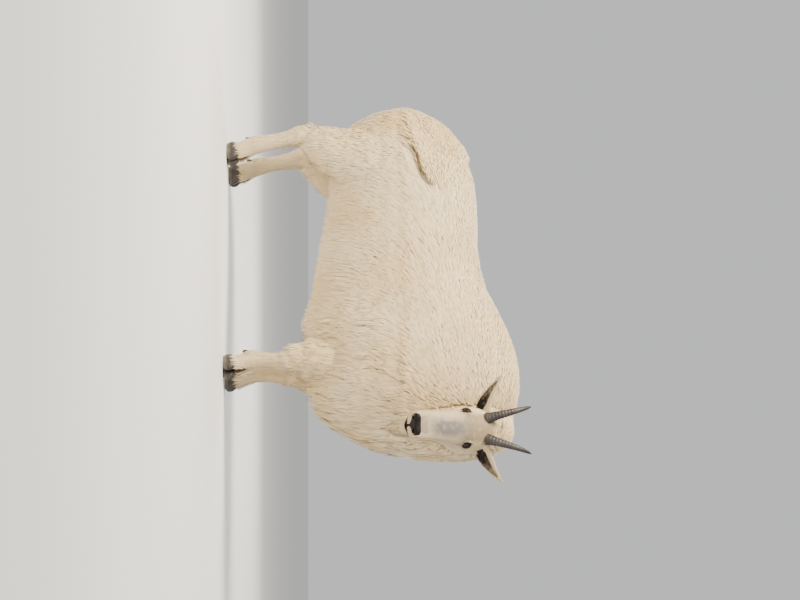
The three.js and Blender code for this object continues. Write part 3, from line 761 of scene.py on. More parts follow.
def face_shade_and_grey_marks(x, y, z):
    """The patch on the bridge, a breath of grey over the muzzle that is partly the face's own greyish hair
    and partly painted shade, and the hair over the nose pad.
    """
    bridge = smooth(x, 105, 180) * (1 - smooth(x, 225, 285)) * smooth(z, -30, 18)
    grey = 0.85 * bridge * (1 - smooth(np.abs(y - 5), 2, 42))
    # painted shade: this grey over the front of the face is partly its own greyish hair and partly shade
    # painted in
    grey += 0.32 * smooth(x, 60, 150) * smooth(z, -100, -62)
    grey += 0.25 * smooth(np.abs(y), 62, 80)
    over_pad = smooth(x, 268, 280) * smooth(z, -18, -4) * (1 - smooth(np.abs(y), 22, 32))
    return np.maximum(grey, 0.7 * over_pad)


def tear_marks(x, y, z):
    """The dark streak that runs from the front corner of each eye."""
    below = z - (EYE_AT[2] - 4 - 0.30 * (x - EYE_AT[0]))
    beside = np.maximum(0, np.abs(x - EYE_AT[0] - 20) - 12)
    gap = np.hypot(below / 3.0, beside / 4)
    return 0.75 * (1 - smooth(gap, 0.7, 1.5)) * smooth(np.abs(y), 36, 42)


def stain_marks(at):
    back = behind_rump_edge(at)
    rump = 0.6 * smooth(back, -2, 10) * (0.8 + 0.3 * waves(at, 70, 25))
    thigh = smooth(-at[:, 0], 390, 480) * (1 - smooth(np.abs(at[:, 2] - 540), 50, 190))
    return np.maximum(rump, 0.95 * thigh * (0.65 + 0.4 * waves(at, 60, 5)))


def markings(at, on_head, cup_or_shaded_cleft):
    """Masks for tan, grey, black and stain."""
    local = times(HEAD_BACK, at)
    x, y, z = local.T
    pad = pad_mask(local)
    pad_black = smooth(pad - pad * pad_haired(x), 0.03, 0.25)
    grey = face_shade_and_grey_marks(x, y, z) * (1 - pad_black)
    mouth = 1 - smooth(mouth_gap(x, y, z), 4.0, 5.6)
    rim = 1 - smooth(lids_gap(local), 1.38, 1.56)
    black = np.maximum.reduce([pad_black, mouth, rim, tear_marks(x, y, z)]) * on_head
    # black in the ear cups, and in the clefts of the feet as painted shade between the toes
    black = np.maximum(black, (0.95 - 0.2 * smooth(np.abs(y), 80, 130)) * cup_or_shaded_cleft)
    masks = [tan_marks(x, y, z) * on_head, grey * on_head, black, stain_marks(at) * (1 - on_head)]
    return np.clip(np.stack(masks, axis=1), 0, 1)


# %% Markings on the skin
# the ear cups are dark skin; the clefts of the feet are painted black as shade between the toes
cups_and_shaded_clefts = (in_cup(skin_at) & (share_in(skin_shares, "ear") > 0.3)) | in_cleft(skin_at, 1.2)
skin_marks = markings(skin_at, share_in(skin_shares, *ON_HEAD), cups_and_shaded_clefts.astype(float))
print("marked tan, grey, black and stained", (skin_marks > 0.5).sum(axis=0), "points")
marks = skin.data.attributes.new("marks", "FLOAT_COLOR", "POINT")
marks.data.foreach_set("color", skin_marks.astype(np.float32).ravel())

# %% [markdown]
# Fur could be particle hair, but the export drops that, so it is made of flat, tapered tufts of solid
# mesh. Each tuft has three sides, is sunk into the skin at its root, rises through the coat and bends
# over along the lie. Each region of the coat has its own measures, and they change inside it too: over
# the hip, for instance, the coat rises in a step, and the lips have the shortest hair of all.

# %% Measures of the coat
# tufts per square metre, length, rise of the tip over the skin, width, thickness, wave, gathering
MEASURES = {
    "torso": (63000, 44, 26, 3.8, 0.7, 0.6, 0.0),
    "neck": (63000, 43, 27, 3.9, 0.7, 0.8, 0.0),
    "foreleg": (48000, 62, 21, 4.8, 1.2, 3.0, 0.40),
    "hindleg": (50000, 52, 16, 4.7, 1.1, 1.2, 0.15),
    "shank": (92000, 16, 5.0, 2.6, 0.6, 0.3, 0.10),
    "tail": (30000, 60, 14, 6.0, 2.0, 2.0, 0.30),
    "head": (120000, 8.5, 2.8, 2.1, 0.6, 0.0, 0.05),
    "ear": (100000, 10, 2.2, 2.1, 0.6, 0.0, 0.05),
    "beard": (56000, 54, 15, 4.2, 1.3, 3.5, 0.25),
}
measure_table = np.array([MEASURES[name] for name in REGION_NAMES], float)
print("measures for", ", ".join(MEASURES))


def chest_share(at, shares):
    """Where the long, wavy wool of chest, lower shoulder and throat grows."""
    low = np.interp(at[:, 0], (100, 300, 520), (470, 560, 640))
    body = share_in(shares, "torso", "neck")
    return body * smooth(at[:, 0], 80, 260) * (1 - smooth(at[:, 2] - low, -60, 90))


def measures_at(at, normal, shares):
    """The seven measures at places on the skin, with what changes inside a region."""
    many, long, rise, wide, thick, wave, gather = (shares @ measure_table).T
    body = share_in(shares, "torso", "neck")
    chest = chest_share(at, shares)
    belly = body * (1 - smooth(at[:, 2], 380, 480))
    many = many - 24500 * chest
    long = long + 34 * chest + 22 * belly
    wave = wave + 6.0 * chest + 1.5 * belly
    gather = gather + 0.55 * chest + 0.2 * belly
    wide = wide + 1.2 * chest + 0.6 * belly
    thick = thick + 0.6 * chest
    sleeve = share_in(shares, "foreleg") * smooth(at[:, 2], 320, 400)
    rise = rise - 9 * sleeve
    wave = wave + 4 * sleeve
    gather = gather + 0.3 * sleeve
    top = body * smooth(normal[:, 2], 0.7, 0.95)
    crest = top * smooth(at[:, 2], 830, 910)
    long = long - 8 * top - 6 * crest
    rise = rise + 1.5 * crest
    back = behind_rump_edge(at)
    rise = rise + body * 15 * smooth(back, -2, 5) * (1 - smooth(back, 30, 150))
    rise = rise - body * 10 * smooth(back, -60, -8) * (1 - smooth(back, -6, -1))
    long = long - body * 14 * smooth(back, -4, 2) * (1 - smooth(back, 10, 34))
    local = times(HEAD_BACK, at)
    face = share_in(shares, "head")
    crown = face * smooth(local[:, 2], 20, 40) * (1 - smooth(local[:, 0], 60, 120))
    cheek = face * (1 - smooth(local[:, 0], 70, 150)) * smooth(-local[:, 2], 0, 50)
    lips = face * (1 - smooth(mouth_gap(*local.T), 5, 14)) * smooth(local[:, 0], 262, 280)
    long = long + 6 * crown + 16 * cheek - 4.5 * lips
    rise = rise + 2 * crown + 4 * cheek - 1.2 * lips
    wide = wide + 1.2 * cheek
    fetlock = share_in(shares, "shank") * (1 - smooth(at[:, 2], 50, 110))
    long = long + 12 * fetlock - 14 * in_cleft(at, 14)
    rise = rise + 1.5 * fetlock
    return many, long, rise, wide, thick, wave, gather


def bare(at, shares):
    """Where no tuft grows: nose pad, eyes, mouth, ear cups, clefts and under the hooves' edge."""
    local = times(HEAD_BACK, at)
    x, y, z = local.T
    off = (pad_mask(local) * (1 - pad_haired(x)) > 0.08) | (lids_gap(local) < 1.40)
    off |= mouth_gap(x, y, z) < 5.4
    off &= share_in(shares, *ON_HEAD) > 0.4
    off |= in_cup(at) & (share_in(shares, "ear") > 0.3)
    return off | in_cleft(at, 3.5) | (at[:, 2] < HOOF_TOP - 2)


# %% [markdown]
# Tufts grow from points on the skin. Points thrown quite at random would leave bald spots, so they are
# dealt out evenly along the list of triangles, by area and density, and only their place inside a
# triangle is random.

# %% Roots on the skin
skin.data.calc_loop_triangles()
corners = np.empty(len(skin.data.loop_triangles) * 3, np.int32)
skin.data.loop_triangles.foreach_get("vertices", corners)
corners = corners.reshape(-1, 3)
a, b, c = (skin_at[corners[:, k]] for k in range(3))
area = np.linalg.norm(np.cross(b - a, c - a), axis=1) / 2 * MM * MM
skin_many = measures_at(skin_at, skin_normal, skin_shares)[0]
wanted = area * skin_many[corners].mean(axis=1)
random = np.random.default_rng(7)
ladder = np.cumsum(wanted)
count = int(ladder[-1])
steps = (np.arange(count) + random.uniform(0, 1, count)) * ladder[-1] / count
chosen = corners[np.searchsorted(ladder, steps)]
u, v = random.uniform(0, 1, (2, count))
u, v = np.where(u + v > 1, 1 - u, u), np.where(u + v > 1, 1 - v, v)
weights = np.stack([1 - u - v, u, v], axis=1)[:, :, None]


def at_roots(values):
    return (values[chosen] * weights).sum(axis=1)


roots = at_roots(skin_at)
normals = unit(at_roots(skin_normal))
shares = at_roots(skin_shares)
keep = ~bare(roots, shares)
roots, normals, shares = roots[keep], normals[keep], shares[keep]
print("tufts", len(roots), "on", round(float(area.sum()), 2), "square metres of skin")

# %% [markdown]
# No two tufts are alike. Smooth waves over the coat turn whole patches together, and random numbers
# part neighbours. Long hair on the underside also hangs by its own weight.

# %% Directions and tips
lie = sum(LIES[name](roots) * shares[:, i:i + 1] for i, name in enumerate(REGION_NAMES))
lie = unit(lie - (lie * normals).sum(1, keepdims=True) * normals)
side_way = np.cross(normals, lie)
many, long, rise, wide, thick, wave, gather = measures_at(roots, normals, shares)
stray = np.random.default_rng(8)
total = len(roots)
sway = 0.16 * waves(roots, 90, 1) + 0.09 * waves(roots, 35, 2) + 0.09 * stray.normal(size=total)
lie = unit(lie + side_way * sway[:, None])
side_way = np.cross(normals, lie)
long = long * stray.uniform(0.78, 1.15, total)
rise = rise * stray.uniform(0.92, 1.03, total) * (1 + 0.03 * waves(roots, 50, 3))
wide = wide * stray.uniform(0.75, 1.25, total)
hang = np.clip(-normals[:, 2] + 0.15, 0, 1) * np.clip((long - 30) / 30, 0, 1)
reach = np.sqrt(np.maximum(long**2 - rise**2, (0.5 * long) ** 2)) * (1 - 0.45 * hang)


# %% [markdown]
# Long wool clings together in locks. A lock has a middle, which is the root of one of its tufts, and
# the tips of its tufts lean towards it. Its outer tufts lie lower, so that shadow parts the locks, and
# all of them share a tone.

# %% Locks
def middles_near(points, spacing, seed):
    """Shared middles for locks, about a spacing apart, and each point's own one."""
    order = np.random.default_rng(seed).permutation(len(points))
    taken = []
    cells = {}
    for i in order:
        cell = tuple((points[i] // spacing).astype(int))
        if cell not in cells:
            cells[cell] = len(taken)
            taken.append(i)
    tree = tree_of(points[taken])
    own = np.array([tree.find(point)[1] for point in points])
    return np.array(taken)[own]


LOCK_SPACING = 24
middle_of = middles_near(roots, LOCK_SPACING, 9)
apart = roots[middle_of] - roots
apart -= (apart * normals).sum(1, keepdims=True) * normals
locked = np.clip(gather / 0.5, 0, 1)
rise = rise * (1 - 0.22 * locked * smooth(np.linalg.norm(apart, axis=1), 3, LOCK_SPACING * 0.7))
lock_tone = stray.uniform(-1, 1, total)[middle_of] * locked
phase = 2.2 * waves(roots, 120, 4) + 0.3 * stray.normal(size=total)
print("locks", len(np.unique(middle_of)))

# %% [markdown]
# A tuft's points are worked out for all tufts of a piece at once with arrays, since there are over a
# hundred thousand of them. A tuft's middle line starts under the skin, rises fast and then lies flat.

# %% Lines of the tufts
WAVE_LONG = 44
SINK = 2.5


def each(values, pick):
    """One value for each picked tuft, shaped so that it goes with the points along the tufts."""
    return values[pick][:, None, None]


def tuft_lines(pick, t):
    """The middle lines of the picked tufts, read at t from 0 at the root to 1 at the tip."""
    lift = each(rise, pick) * (1 - (1 - t) ** 3 - 0.06 * t**4)
    lift = lift - SINK * np.minimum(1, each(long, pick) / 20) * (1 - t)
    run = each(reach, pick) * t**1.25
    swing = each(wave, pick) * t * np.sin(each(phase, pick) + 2 * math.pi * t * each(long, pick) / WAVE_LONG)
    line = roots[pick][:, None] + normals[pick][:, None] * lift + lie[pick][:, None] * run
    line = line + side_way[pick][:, None] * swing
    line = line + apart[pick][:, None] * each(gather, pick) * t**1.5
    line[..., 2] -= (each(hang, pick) * each(long, pick) * 0.5 * t**1.6)[..., 0]
    return line


def tuft_axes(pick, line):
    """Across and over the picked tufts, at each point of their lines. Over looks away from the skin."""
    side, normal = side_way[pick][:, None], normals[pick][:, None]
    step = unit(np.gradient(line, axis=1))
    across = unit(side - (side * step).sum(-1, keepdims=True) * step)
    over = np.cross(step, across)
    upside = np.sign((over * normal).sum(-1, keepdims=True) + 1e-9)
    return across * upside, over * upside


# %% [markdown]
# Round the line stand rings of three points: left, right and on top. Widths and thicknesses along a
# tuft make it widest low down and narrow at the tip. The normals are turned most of the way to the
# skin's own, so that light falls on the coat as on one soft surface.

# %% Rings and faces of the tufts
WIDTHS = np.array([0.75, 1.0, 0.85, 0.5])
THICKS = np.array([1.0, 1.0, 0.8, 0.5])
FLATTER = 0.8


def profile(values, t):
    return np.interp(t[0, :-1, 0], np.linspace(0, 0.8, len(values)), values)[None, :, None]


def tuft_points(pick, t):
    """The points of the picked tufts, ring by ring and then the tip, and their normals."""
    line = tuft_lines(pick, t)
    across, over = tuft_axes(pick, line)
    half, deep = each(wide, pick) / 2 * profile(WIDTHS, t), each(thick, pick) * profile(THICKS, t)
    body, out, up = line[:, :-1], across[:, :-1], over[:, :-1]
    ring = np.stack([body - out * half, body + out * half, body + up * deep], axis=2)
    points = np.concatenate([ring.reshape(len(pick), -1, 3), line[:, -1:]], axis=1)
    facing = np.stack([-out, out, up], axis=2).reshape(len(pick), -1, 3)
    facing = np.concatenate([facing, over[:, -1:]], axis=1) * (1 - FLATTER) + normals[pick][:, None] * FLATTER
    return points, unit(facing)


def tuft_faces(rings):
    """The triangles of one tuft: a cap at the root, the walls between its rings, and the tip."""
    faces = [(0, 2, 1)]
    for r in range(rings - 1):
        for k in range(3):
            low, high = 3 * r + k, 3 * r + (k + 1) % 3
            faces += [(low, high + 3, low + 3), (low, high, high + 3)]
    tip, last = 3 * rings, 3 * (rings - 1)
    faces += [(last + k, last + (k + 1) % 3, tip) for k in range(3)]
    return np.array(faces)


# %% [markdown]
# The coat's colours have a map named OFBake. There the skin is slit along its lofts and unrolled, and
# each tuft is a small patch at the place of its root. A second map runs along each tuft for the fine
# strands of hair.

# %% Maps of the tufts
BAKE_PATCH = 0.003


def unrolled(points, lofts, in_head):
    """Where points lie when the skin is slit along its lofts and unrolled, each loft in its own strip."""
    if in_head:
        points = times(HEAD_BACK, points)
    samples = np.linspace(0.02, 0.98, 120)
    best = np.full(len(points), np.inf)
    place = np.zeros((len(points), 2))
    for strip, loft in enumerate(lofts):
        line = curve(loft.line, samples)
        gaps = np.linalg.norm(points[:, None] - line[None], axis=2) / (curve(loft.sizes, samples).mean(1) + 1)
        nearest = gaps.argmin(1)
        gap = gaps.min(1)
        _, up, side = loft.axes(samples[nearest])
        away = points - line[nearest]
        turn = np.arctan2((away * up).sum(1), (away * side).sum(1)) / (2 * math.pi) + 0.5
        here = np.stack([(strip + 0.05 + 0.9 * samples[nearest]) / len(lofts), 0.02 + 0.96 * turn], axis=1)
        better = gap < best
        best[better], place[better] = gap[better], here[better]
    return place


def mapped(mesh, maps):
    """Writes UV maps. Each is given point by point."""
    corner = np.empty(len(mesh.loops), np.int32)
    mesh.loops.foreach_get("vertex_index", corner)
    for layer, values in maps.items():
        uv = mesh.uv_layers.new(name=layer)
        uv.data.foreach_set("uv", values[corner].astype(np.float32).ravel())


# %% A mesh of tufts
def mesh_of(name, points, facing, faces):
    """One mesh of many tufts that all have the same faces."""
    count, each_tuft = points.shape[:2]
    all_faces = (faces[None] + (np.arange(count) * each_tuft)[:, None, None]).reshape(-1, 3)
    mesh = bpy.data.meshes.new(name)
    mesh.vertices.add(count * each_tuft)
    mesh.vertices.foreach_set("co", to_metres(points).astype(np.float32).ravel())
    mesh.loops.add(all_faces.size)
    mesh.loops.foreach_set("vertex_index", all_faces.astype(np.int32).ravel())
    mesh.polygons.add(len(all_faces))
    mesh.polygons.foreach_set("loop_start", np.arange(0, all_faces.size, 3, dtype=np.int32))
    mesh.update(calc_edges=True)
    mesh.shade_smooth()
    mesh.normals_split_custom_set_from_vertices(facing.reshape(-1, 3))
    return mesh


def tufts(name, picked, rings, lofts, in_head=False):
    """One piece of the coat, with the tufts whose roots are picked."""
    t = np.linspace(0, 1, rings + 1)[None, :, None]
    pick = np.nonzero(picked)[0]
    points, facing = tuft_points(pick, t)
    mesh = mesh_of(name, points, facing, tuft_faces(rings))
    each_tuft = points.shape[1]

    along = np.concatenate([np.repeat(t[0, :-1, 0], 3), [1.0]])
    sideways = np.concatenate([np.tile([0.0, 1.0, 0.5], rings), [0.5]])
    fields = {"along": np.tile(along, len(pick)), "tone": np.repeat(stray_tone[pick], each_tuft)}
    for field, values in fields.items():
        mesh.attributes.new(field, "FLOAT", "POINT").data.foreach_set("value", values.astype(np.float32))
    colours = np.repeat(root_marks[pick], each_tuft, axis=0)
    marks = mesh.attributes.new("marks", "FLOAT_COLOR", "POINT")
    marks.data.foreach_set("color", colours.astype(np.float32).ravel())
    strand = np.stack([np.tile(sideways, len(pick)) + 7 * fields["tone"], fields["along"]], axis=1)
    patch = np.stack([sideways - 0.5, along - 0.5], axis=1) * BAKE_PATCH
    bake = unrolled(roots[pick], lofts, in_head)[:, None] + patch[None]
    mapped(mesh, {"strand": strand, "OFBake": bake.reshape(-1, 2)})
    piece = object_of(name, mesh, COAT)
    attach(piece, "root")
    print(name, len(pick), "tufts", len(mesh.polygons), "triangles")


# %% [markdown]
# Hair, horn and hoof take their colour from nodes. Linking nodes by hand takes many lines, so a few
# helpers add a node, feed its inputs by name and hand on its output.

# %% Helpers for materials
def add(tree, kind, **settings):
    made = tree.nodes.new("ShaderNode" + kind)
    for key, value in settings.items():
        setattr(made, key, value)
    return made


def feed(tree, made, **inputs):
    """Sets a node's inputs by name: a socket is linked, and anything else is a value."""
    for key, value in inputs.items():
        socket = made.inputs[int(key[1:])] if key[0] == "_" else made.inputs[key.replace("_", " ")]
        if isinstance(value, bpy.types.NodeSocket):
            tree.links.new(value, socket)
        else:
            socket.default_value = value
    return made


def noise(tree, where, scale, detail=3.0):
    made = add(tree, "TexNoise")
    feed(tree, made, Vector=where, Scale=scale, Detail=detail)
    return made.outputs["Fac"]


def remap(tree, value, low, high, to_low=0.0, to_high=1.0):
    made = add(tree, "MapRange", interpolation_type="SMOOTHSTEP")
    feed(tree, made, _0=value, _1=low, _2=high, _3=to_low, _4=to_high)
    return made.outputs[0]


def math_node(tree, operation, a, b):
    return feed(tree, add(tree, "Math", operation=operation), _0=a, _1=b).outputs[0]


def mixed(tree, share, a, b, how="MIX"):
    made = add(tree, "Mix", data_type="RGBA", blend_type=how)
    feed(tree, made, _0=share, _6=a, _7=b)
    return made.outputs[2]


def material(name):
    """A new material, its node tree and its shader."""
    made = bpy.data.materials.new(name)
    made.use_nodes = True
    tree = made.node_tree
    return made, tree, tree.nodes["Principled BSDF"]


def bumped(tree, shader, height, strength, distance):
    made = feed(tree, add(tree, "Bump"), Strength=strength, Distance=distance, Height=height)
    tree.links.new(made.outputs[0], shader.inputs["Normal"])


# %% [markdown]
# Skin and hair both show the markings, so the markings are a node group. It reads the masks that were
# written to the points and mixes a tint over the base colour for each. Noise breaks the tints up, the
# black ones least, and the stain carries small dark flecks. The group puts out only a colour. The
# shaders stay in the materials.

# %% Markings as a node group
def group(name, inputs, outputs):
    tree = bpy.data.node_groups.new(name, "ShaderNodeTree")
    for title, kind in inputs:
        tree.interface.new_socket(title, in_out="INPUT", socket_type="NodeSocket" + kind)
    for title, kind in outputs:
        tree.interface.new_socket(title, in_out="OUTPUT", socket_type="NodeSocket" + kind)
    return tree, tree.nodes.new("NodeGroupInput"), tree.nodes.new("NodeGroupOutput")


def placed(tree, effect, **inputs):
    made = add(tree, "Group", node_tree=effect)
    return feed(tree, made, **inputs)


FLECK_BROWN = (0.20, 0.11, 0.05, 1)
MARK_TAN = (0.35, 0.255, 0.135, 1)
# the grey of the marks, which over the front of the face is partly painted shade
GREY_MARK_AND_SHADE = (0.19, 0.165, 0.14, 1)
MARK_BLACK = (0.007, 0.0055, 0.005, 1)
MARK_STAIN = (0.72, 0.48, 0.19, 1)

MARKS, enter, leave = group(
    "goat_markings", [("Base", "Color"), ("Break Scale", "Float")], [("Color", "Color")])
place = add(MARKS, "TexCoord").outputs["Object"]
broken = noise(MARKS, place, enter.outputs["Break Scale"])
masks = add(MARKS, "Attribute", attribute_name="marks")
split = feed(MARKS, add(MARKS, "SeparateColor"), Color=masks.outputs["Color"])
colour = enter.outputs["Base"]
# each tint: its mask, its colour, its strength, and how weak the noise may make it
TINTS = (
    (split.outputs[0], MARK_TAN, 1.0, 0.7), (split.outputs[1], GREY_MARK_AND_SHADE, 0.95, 0.86),
    (masks.outputs["Alpha"], MARK_STAIN, 0.8, 0.55), (split.outputs[2], MARK_BLACK, 1.0, 0.94),
)
for mask, tint, strength, weakest in TINTS:
    loose = math_node(MARKS, "MULTIPLY", mask, remap(MARKS, broken, 0.25, 0.6, weakest, 1.15))
    colour = mixed(MARKS, math_node(MARKS, "MULTIPLY", loose, strength), colour, tint)
flecks = remap(MARKS, noise(MARKS, place, 160.0, 4.0), 0.58, 0.66, 0.0, 0.8)
flecks = math_node(MARKS, "MULTIPLY", flecks, remap(MARKS, masks.outputs["Alpha"], 0.45, 0.8))
colour = mixed(MARKS, flecks, colour, FLECK_BROWN)
MARKS.links.new(colour, leave.inputs["Color"])
print("markings group", len(MARKS.nodes), "nodes")

# %% [markdown]
# A tuft stands for many hairs, and fine lines along it show them. A noise stretched along the tuft's
# own map gives such lines, and needs no picture.

# %% Strands as a node group
STRANDS, enter, leave = group("hair_strands", [("Fineness", "Float")], [("Value", "Float")])
lines = add(STRANDS, "UVMap", uv_map="strand")
stretch = add(STRANDS, "VectorMath", operation="MULTIPLY")
feed(STRANDS, stretch, _0=lines.outputs[0], _1=(1, 0.12, 1))
strand_noise = noise(STRANDS, stretch.outputs[0], enter.outputs["Fineness"], 4.0)
STRANDS.links.new(strand_noise, leave.inputs["Value"])
print("strands group", len(STRANDS.nodes), "nodes")

# %% [markdown]
# The coat is cream, a little darker and warmer near the skin, which is painted shade in the gaps between
# tufts and locks, and paler in patches. The two groups give it its markings and strands, each tuft has
# a tone of its own, and a weak sheen gives it a soft edge.

# %% Material of the coat
# darker than the tips: painted shade near the skin, in the gaps between tufts
SHADED_HAIR_ROOT = (0.77, 0.56, 0.30, 1)
HAIR_TIP = (0.84, 0.62, 0.33, 1)
HAIR_PALE = (0.89, 0.71, 0.43, 1)

COAT, tree, shader = material("goat_coat")
along_hair = add(tree, "Attribute", attribute_name="along").outputs["Fac"]
tuft_tone = add(tree, "Attribute", attribute_name="tone").outputs["Fac"]
place = add(tree, "TexCoord").outputs["Object"]
patches = noise(tree, place, 5.0)
tips = mixed(tree, remap(tree, patches, 0.35, 0.65), HAIR_TIP, HAIR_PALE)
# each tuft darkens towards its root, a painted shade in the gaps between tufts
shade = mixed(tree, remap(tree, along_hair, 0.1, 0.75), SHADED_HAIR_ROOT, tips)
marked = placed(tree, MARKS, Base=shade, Break_Scale=70.0).outputs["Color"]
grain = placed(tree, STRANDS, Fineness=9.0).outputs["Value"]
tuft_shade = remap(tree, tuft_tone, 0.0, 1.0, 0.86, 1.0)
dark = math_node(tree, "ADD", tuft_shade, remap(tree, grain, 0.3, 0.7, -0.06, 0.05))
grey = add(tree, "CombineColor")
for channel in range(3):
    tree.links.new(dark, grey.inputs[channel])
tree.links.new(mixed(tree, 1.0, marked, grey.outputs[0], "MULTIPLY"), shader.inputs["Base Color"])
feed(tree, shader, Roughness=0.62, Sheen_Weight=0.25, Sheen_Roughness=0.4)
bumped(tree, shader, grain, 0.35, 0.001)
print(COAT.name, len(tree.nodes), "nodes")

# %% [markdown]
# The skin shows on the nose pad, the lips and in the ears. It has the cream of the hair, so that it
# doesn't shine through between tufts, and where it is black it is also a little wetter.

# %% Material of the skin
SKIN_CREAM = (0.80, 0.62, 0.37, 1)

SKIN, tree, shader = material("goat_skin")
place = add(tree, "TexCoord").outputs["Object"]
marked = placed(tree, MARKS, Base=SKIN_CREAM, Break_Scale=70.0).outputs["Color"]
tree.links.new(marked, shader.inputs["Base Color"])
masks = add(tree, "Attribute", attribute_name="marks")
split = feed(tree, add(tree, "SeparateColor"), Color=masks.outputs["Color"])
feed(tree, shader, Roughness=remap(tree, split.outputs[2], 0.4, 0.9, 0.75, 0.42), Specular_IOR_Level=0.12)
bumped(tree, shader, noise(tree, place, 420.0, 4.0), 0.35, 0.0008)
print(SKIN.name, len(tree.nodes), "nodes")

# %% [markdown]
# From a few metres the eye is a dark drop with one small light in it. Attributes on the ball say how
# far a point is from its pole and whether it lies in the pupil. A clear coat gives the light.

# %% Material of the eyes
IRIS_DARK = (0.014, 0.006, 0.004, 1)
IRIS_LIGHT = (0.032, 0.012, 0.006, 1)
IRIS_RIM = (0.012, 0.008, 0.007, 1)
PUPIL_BLACK = (0.002, 0.002, 0.003, 1)

EYE, tree, shader = material("goat_eye")
iris = add(tree, "Attribute", attribute_name="iris").outputs["Fac"]
pupil = add(tree, "Attribute", attribute_name="pupil").outputs["Fac"]
place = add(tree, "TexCoord").outputs["Object"]
streaks = remap(tree, noise(tree, place, 900.0, 4.0), 0.35, 0.65)
brown = mixed(tree, streaks, IRIS_DARK, IRIS_LIGHT)
ringed = mixed(tree, remap(tree, iris, 10.2, 12.0), brown, IRIS_RIM)
tree.links.new(mixed(tree, pupil, ringed, PUPIL_BLACK), shader.inputs["Base Color"])
feed(tree, shader, Roughness=0.25, Specular_IOR_Level=0.2, Coat_Weight=0.15, Coat_Roughness=0.03)
print(EYE.name, len(tree.nodes), "nodes")

# %% [markdown]
# Horn is black-brown and silky, with fibres along it and a darker tip. The rings are in the mesh, and
# a fine bump adds the lines between them.

# %% Material of the horns
HORN_DARK = (0.018, 0.014, 0.012, 1)
HORN_LIGHT = (0.045, 0.035, 0.028, 1)
HORN_FIBRE = (0.085, 0.066, 0.052, 1)
HORN_TIP = (0.014, 0.012, 0.011, 1)
HORN_LINES = 107.0

HORN, tree, shader = material("goat_horn")
place = add(tree, "TexCoord").outputs["Object"]
along_horn = add(tree, "Attribute", attribute_name="along").outputs["Fac"]
fibre = noise(tree, place, 240.0, 5.0)
lines = math_node(tree, "SINE", math_node(tree, "MULTIPLY", along_horn, HORN_LINES), 0.0)
cloud = remap(tree, noise(tree, place, 38.0), 0.35, 0.68)
shade = mixed(tree, cloud, HORN_DARK, HORN_LIGHT)
shade = mixed(tree, remap(tree, fibre, 0.45, 0.75, 0.0, 0.4), shade, HORN_FIBRE)
shade = mixed(tree, remap(tree, along_horn, 0.55, 0.95), shade, HORN_TIP)
tree.links.new(shade, shader.inputs["Base Color"])
feed(tree, shader, Roughness=remap(tree, fibre, 0.3, 0.7, 0.42, 0.62))
height = math_node(tree, "ADD", math_node(tree, "MULTIPLY", lines, 0.3), fibre)
bumped(tree, shader, height, 0.5, 0.0006)
print(HORN.name, len(tree.nodes), "nodes")

# %% [markdown]
# A hoof is nearly black, worn paler where it meets the ground and scuffed all over. Faint rings run
# round it as it grows. The paler band goes by the height over the ground.

# %% Material of the hooves
HOOF_PALE = (0.17, 0.135, 0.10, 1)
HOOF_DARK = (0.034, 0.027, 0.022, 1)

HOOF, tree, shader = material("goat_hoof")
place = add(tree, "TexCoord").outputs["Object"]
height = feed(tree, add(tree, "SeparateXYZ"), Vector=place).outputs["Z"]
uneven = math_node(tree, "MULTIPLY", noise(tree, place, 60.0), 0.012)
worn = remap(tree, math_node(tree, "ADD", height, uneven), 0.008, 0.022)
shade = mixed(tree, worn, HOOF_PALE, HOOF_DARK)
scuff = remap(tree, noise(tree, place, 210.0, 5.0), 0.5, 0.72)
shade = mixed(tree, math_node(tree, "MULTIPLY", scuff, 0.4), shade, HOOF_PALE)
tree.links.new(shade, shader.inputs["Base Color"])
feed(tree, shader, Roughness=remap(tree, scuff, 0.0, 1.0, 0.45, 0.7))
rings = feed(tree, add(tree, "TexWave", bands_direction="Z"), Vector=place, Scale=55.0, Distortion=3.0)
bumped(tree, shader, rings.outputs["Fac"], 0.35, 0.0008)
print(HOOF.name, len(tree.nodes), "nodes")


# %% [markdown]
# The coat is grown in pieces, so that none passes the limit on triangles: four stretches and the chest
# on each side of the body, and one piece for each smaller region. The longer and wavier the hair, the
# more rings its tufts have.

# %% Coat pieces
ROOT_REGION = shares.argmax(1)
REGION = {name: ROOT_REGION == i for i, name in enumerate(REGION_NAMES)}
stray_tone = 0.55 + 0.15 * stray.normal(size=total) + 0.12 * waves(roots, 40, 6) + 0.4 * lock_tone
stray_tone = np.clip(stray_tone - 0.1 * locked, 0, 1)
root_marks = markings(roots, share_in(shares, *ON_HEAD), np.zeros(total))
right = roots[:, 1] < 0
on_chest = chest_share(roots, shares) > 0.4
STRETCH_ENDS = np.array([-230, 60, 330])
stretch_of = np.searchsorted(STRETCH_ENDS, roots[:, 0])
for name, half in (("right", right), ("left", ~right)):
    for part, title in enumerate(("rump", "loin", "ribs", "shoulder")):
        chosen = REGION["torso"] & half & (stretch_of == part) & ~on_chest
        tufts(f"coat_{title}_{name}", chosen, 2, [TORSO])
    tufts(f"coat_chest_{name}", on_chest & REGION["torso"] & half, 4, [TORSO])
neck_right = roots[:, 1] < -20
tufts("coat_neck_right", REGION["neck"] & ~on_chest & neck_right, 2, [NECK])
tufts("coat_neck_left", REGION["neck"] & ~on_chest & ~neck_right, 2, [NECK])
tufts("coat_throat", REGION["neck"] & on_chest, 5, [NECK])
tufts("coat_forelegs", REGION["foreleg"], 4, REGIONS["foreleg"])
tufts("coat_hindlegs", REGION["hindleg"], 3, REGIONS["hindleg"])
tufts("coat_tail", REGION["tail"], 4, [TAIL])
tufts("coat_shanks", REGION["shank"], 2, REGIONS["shank"])
tufts("coat_face", REGION["head"], 2, [SKULL], in_head=True)
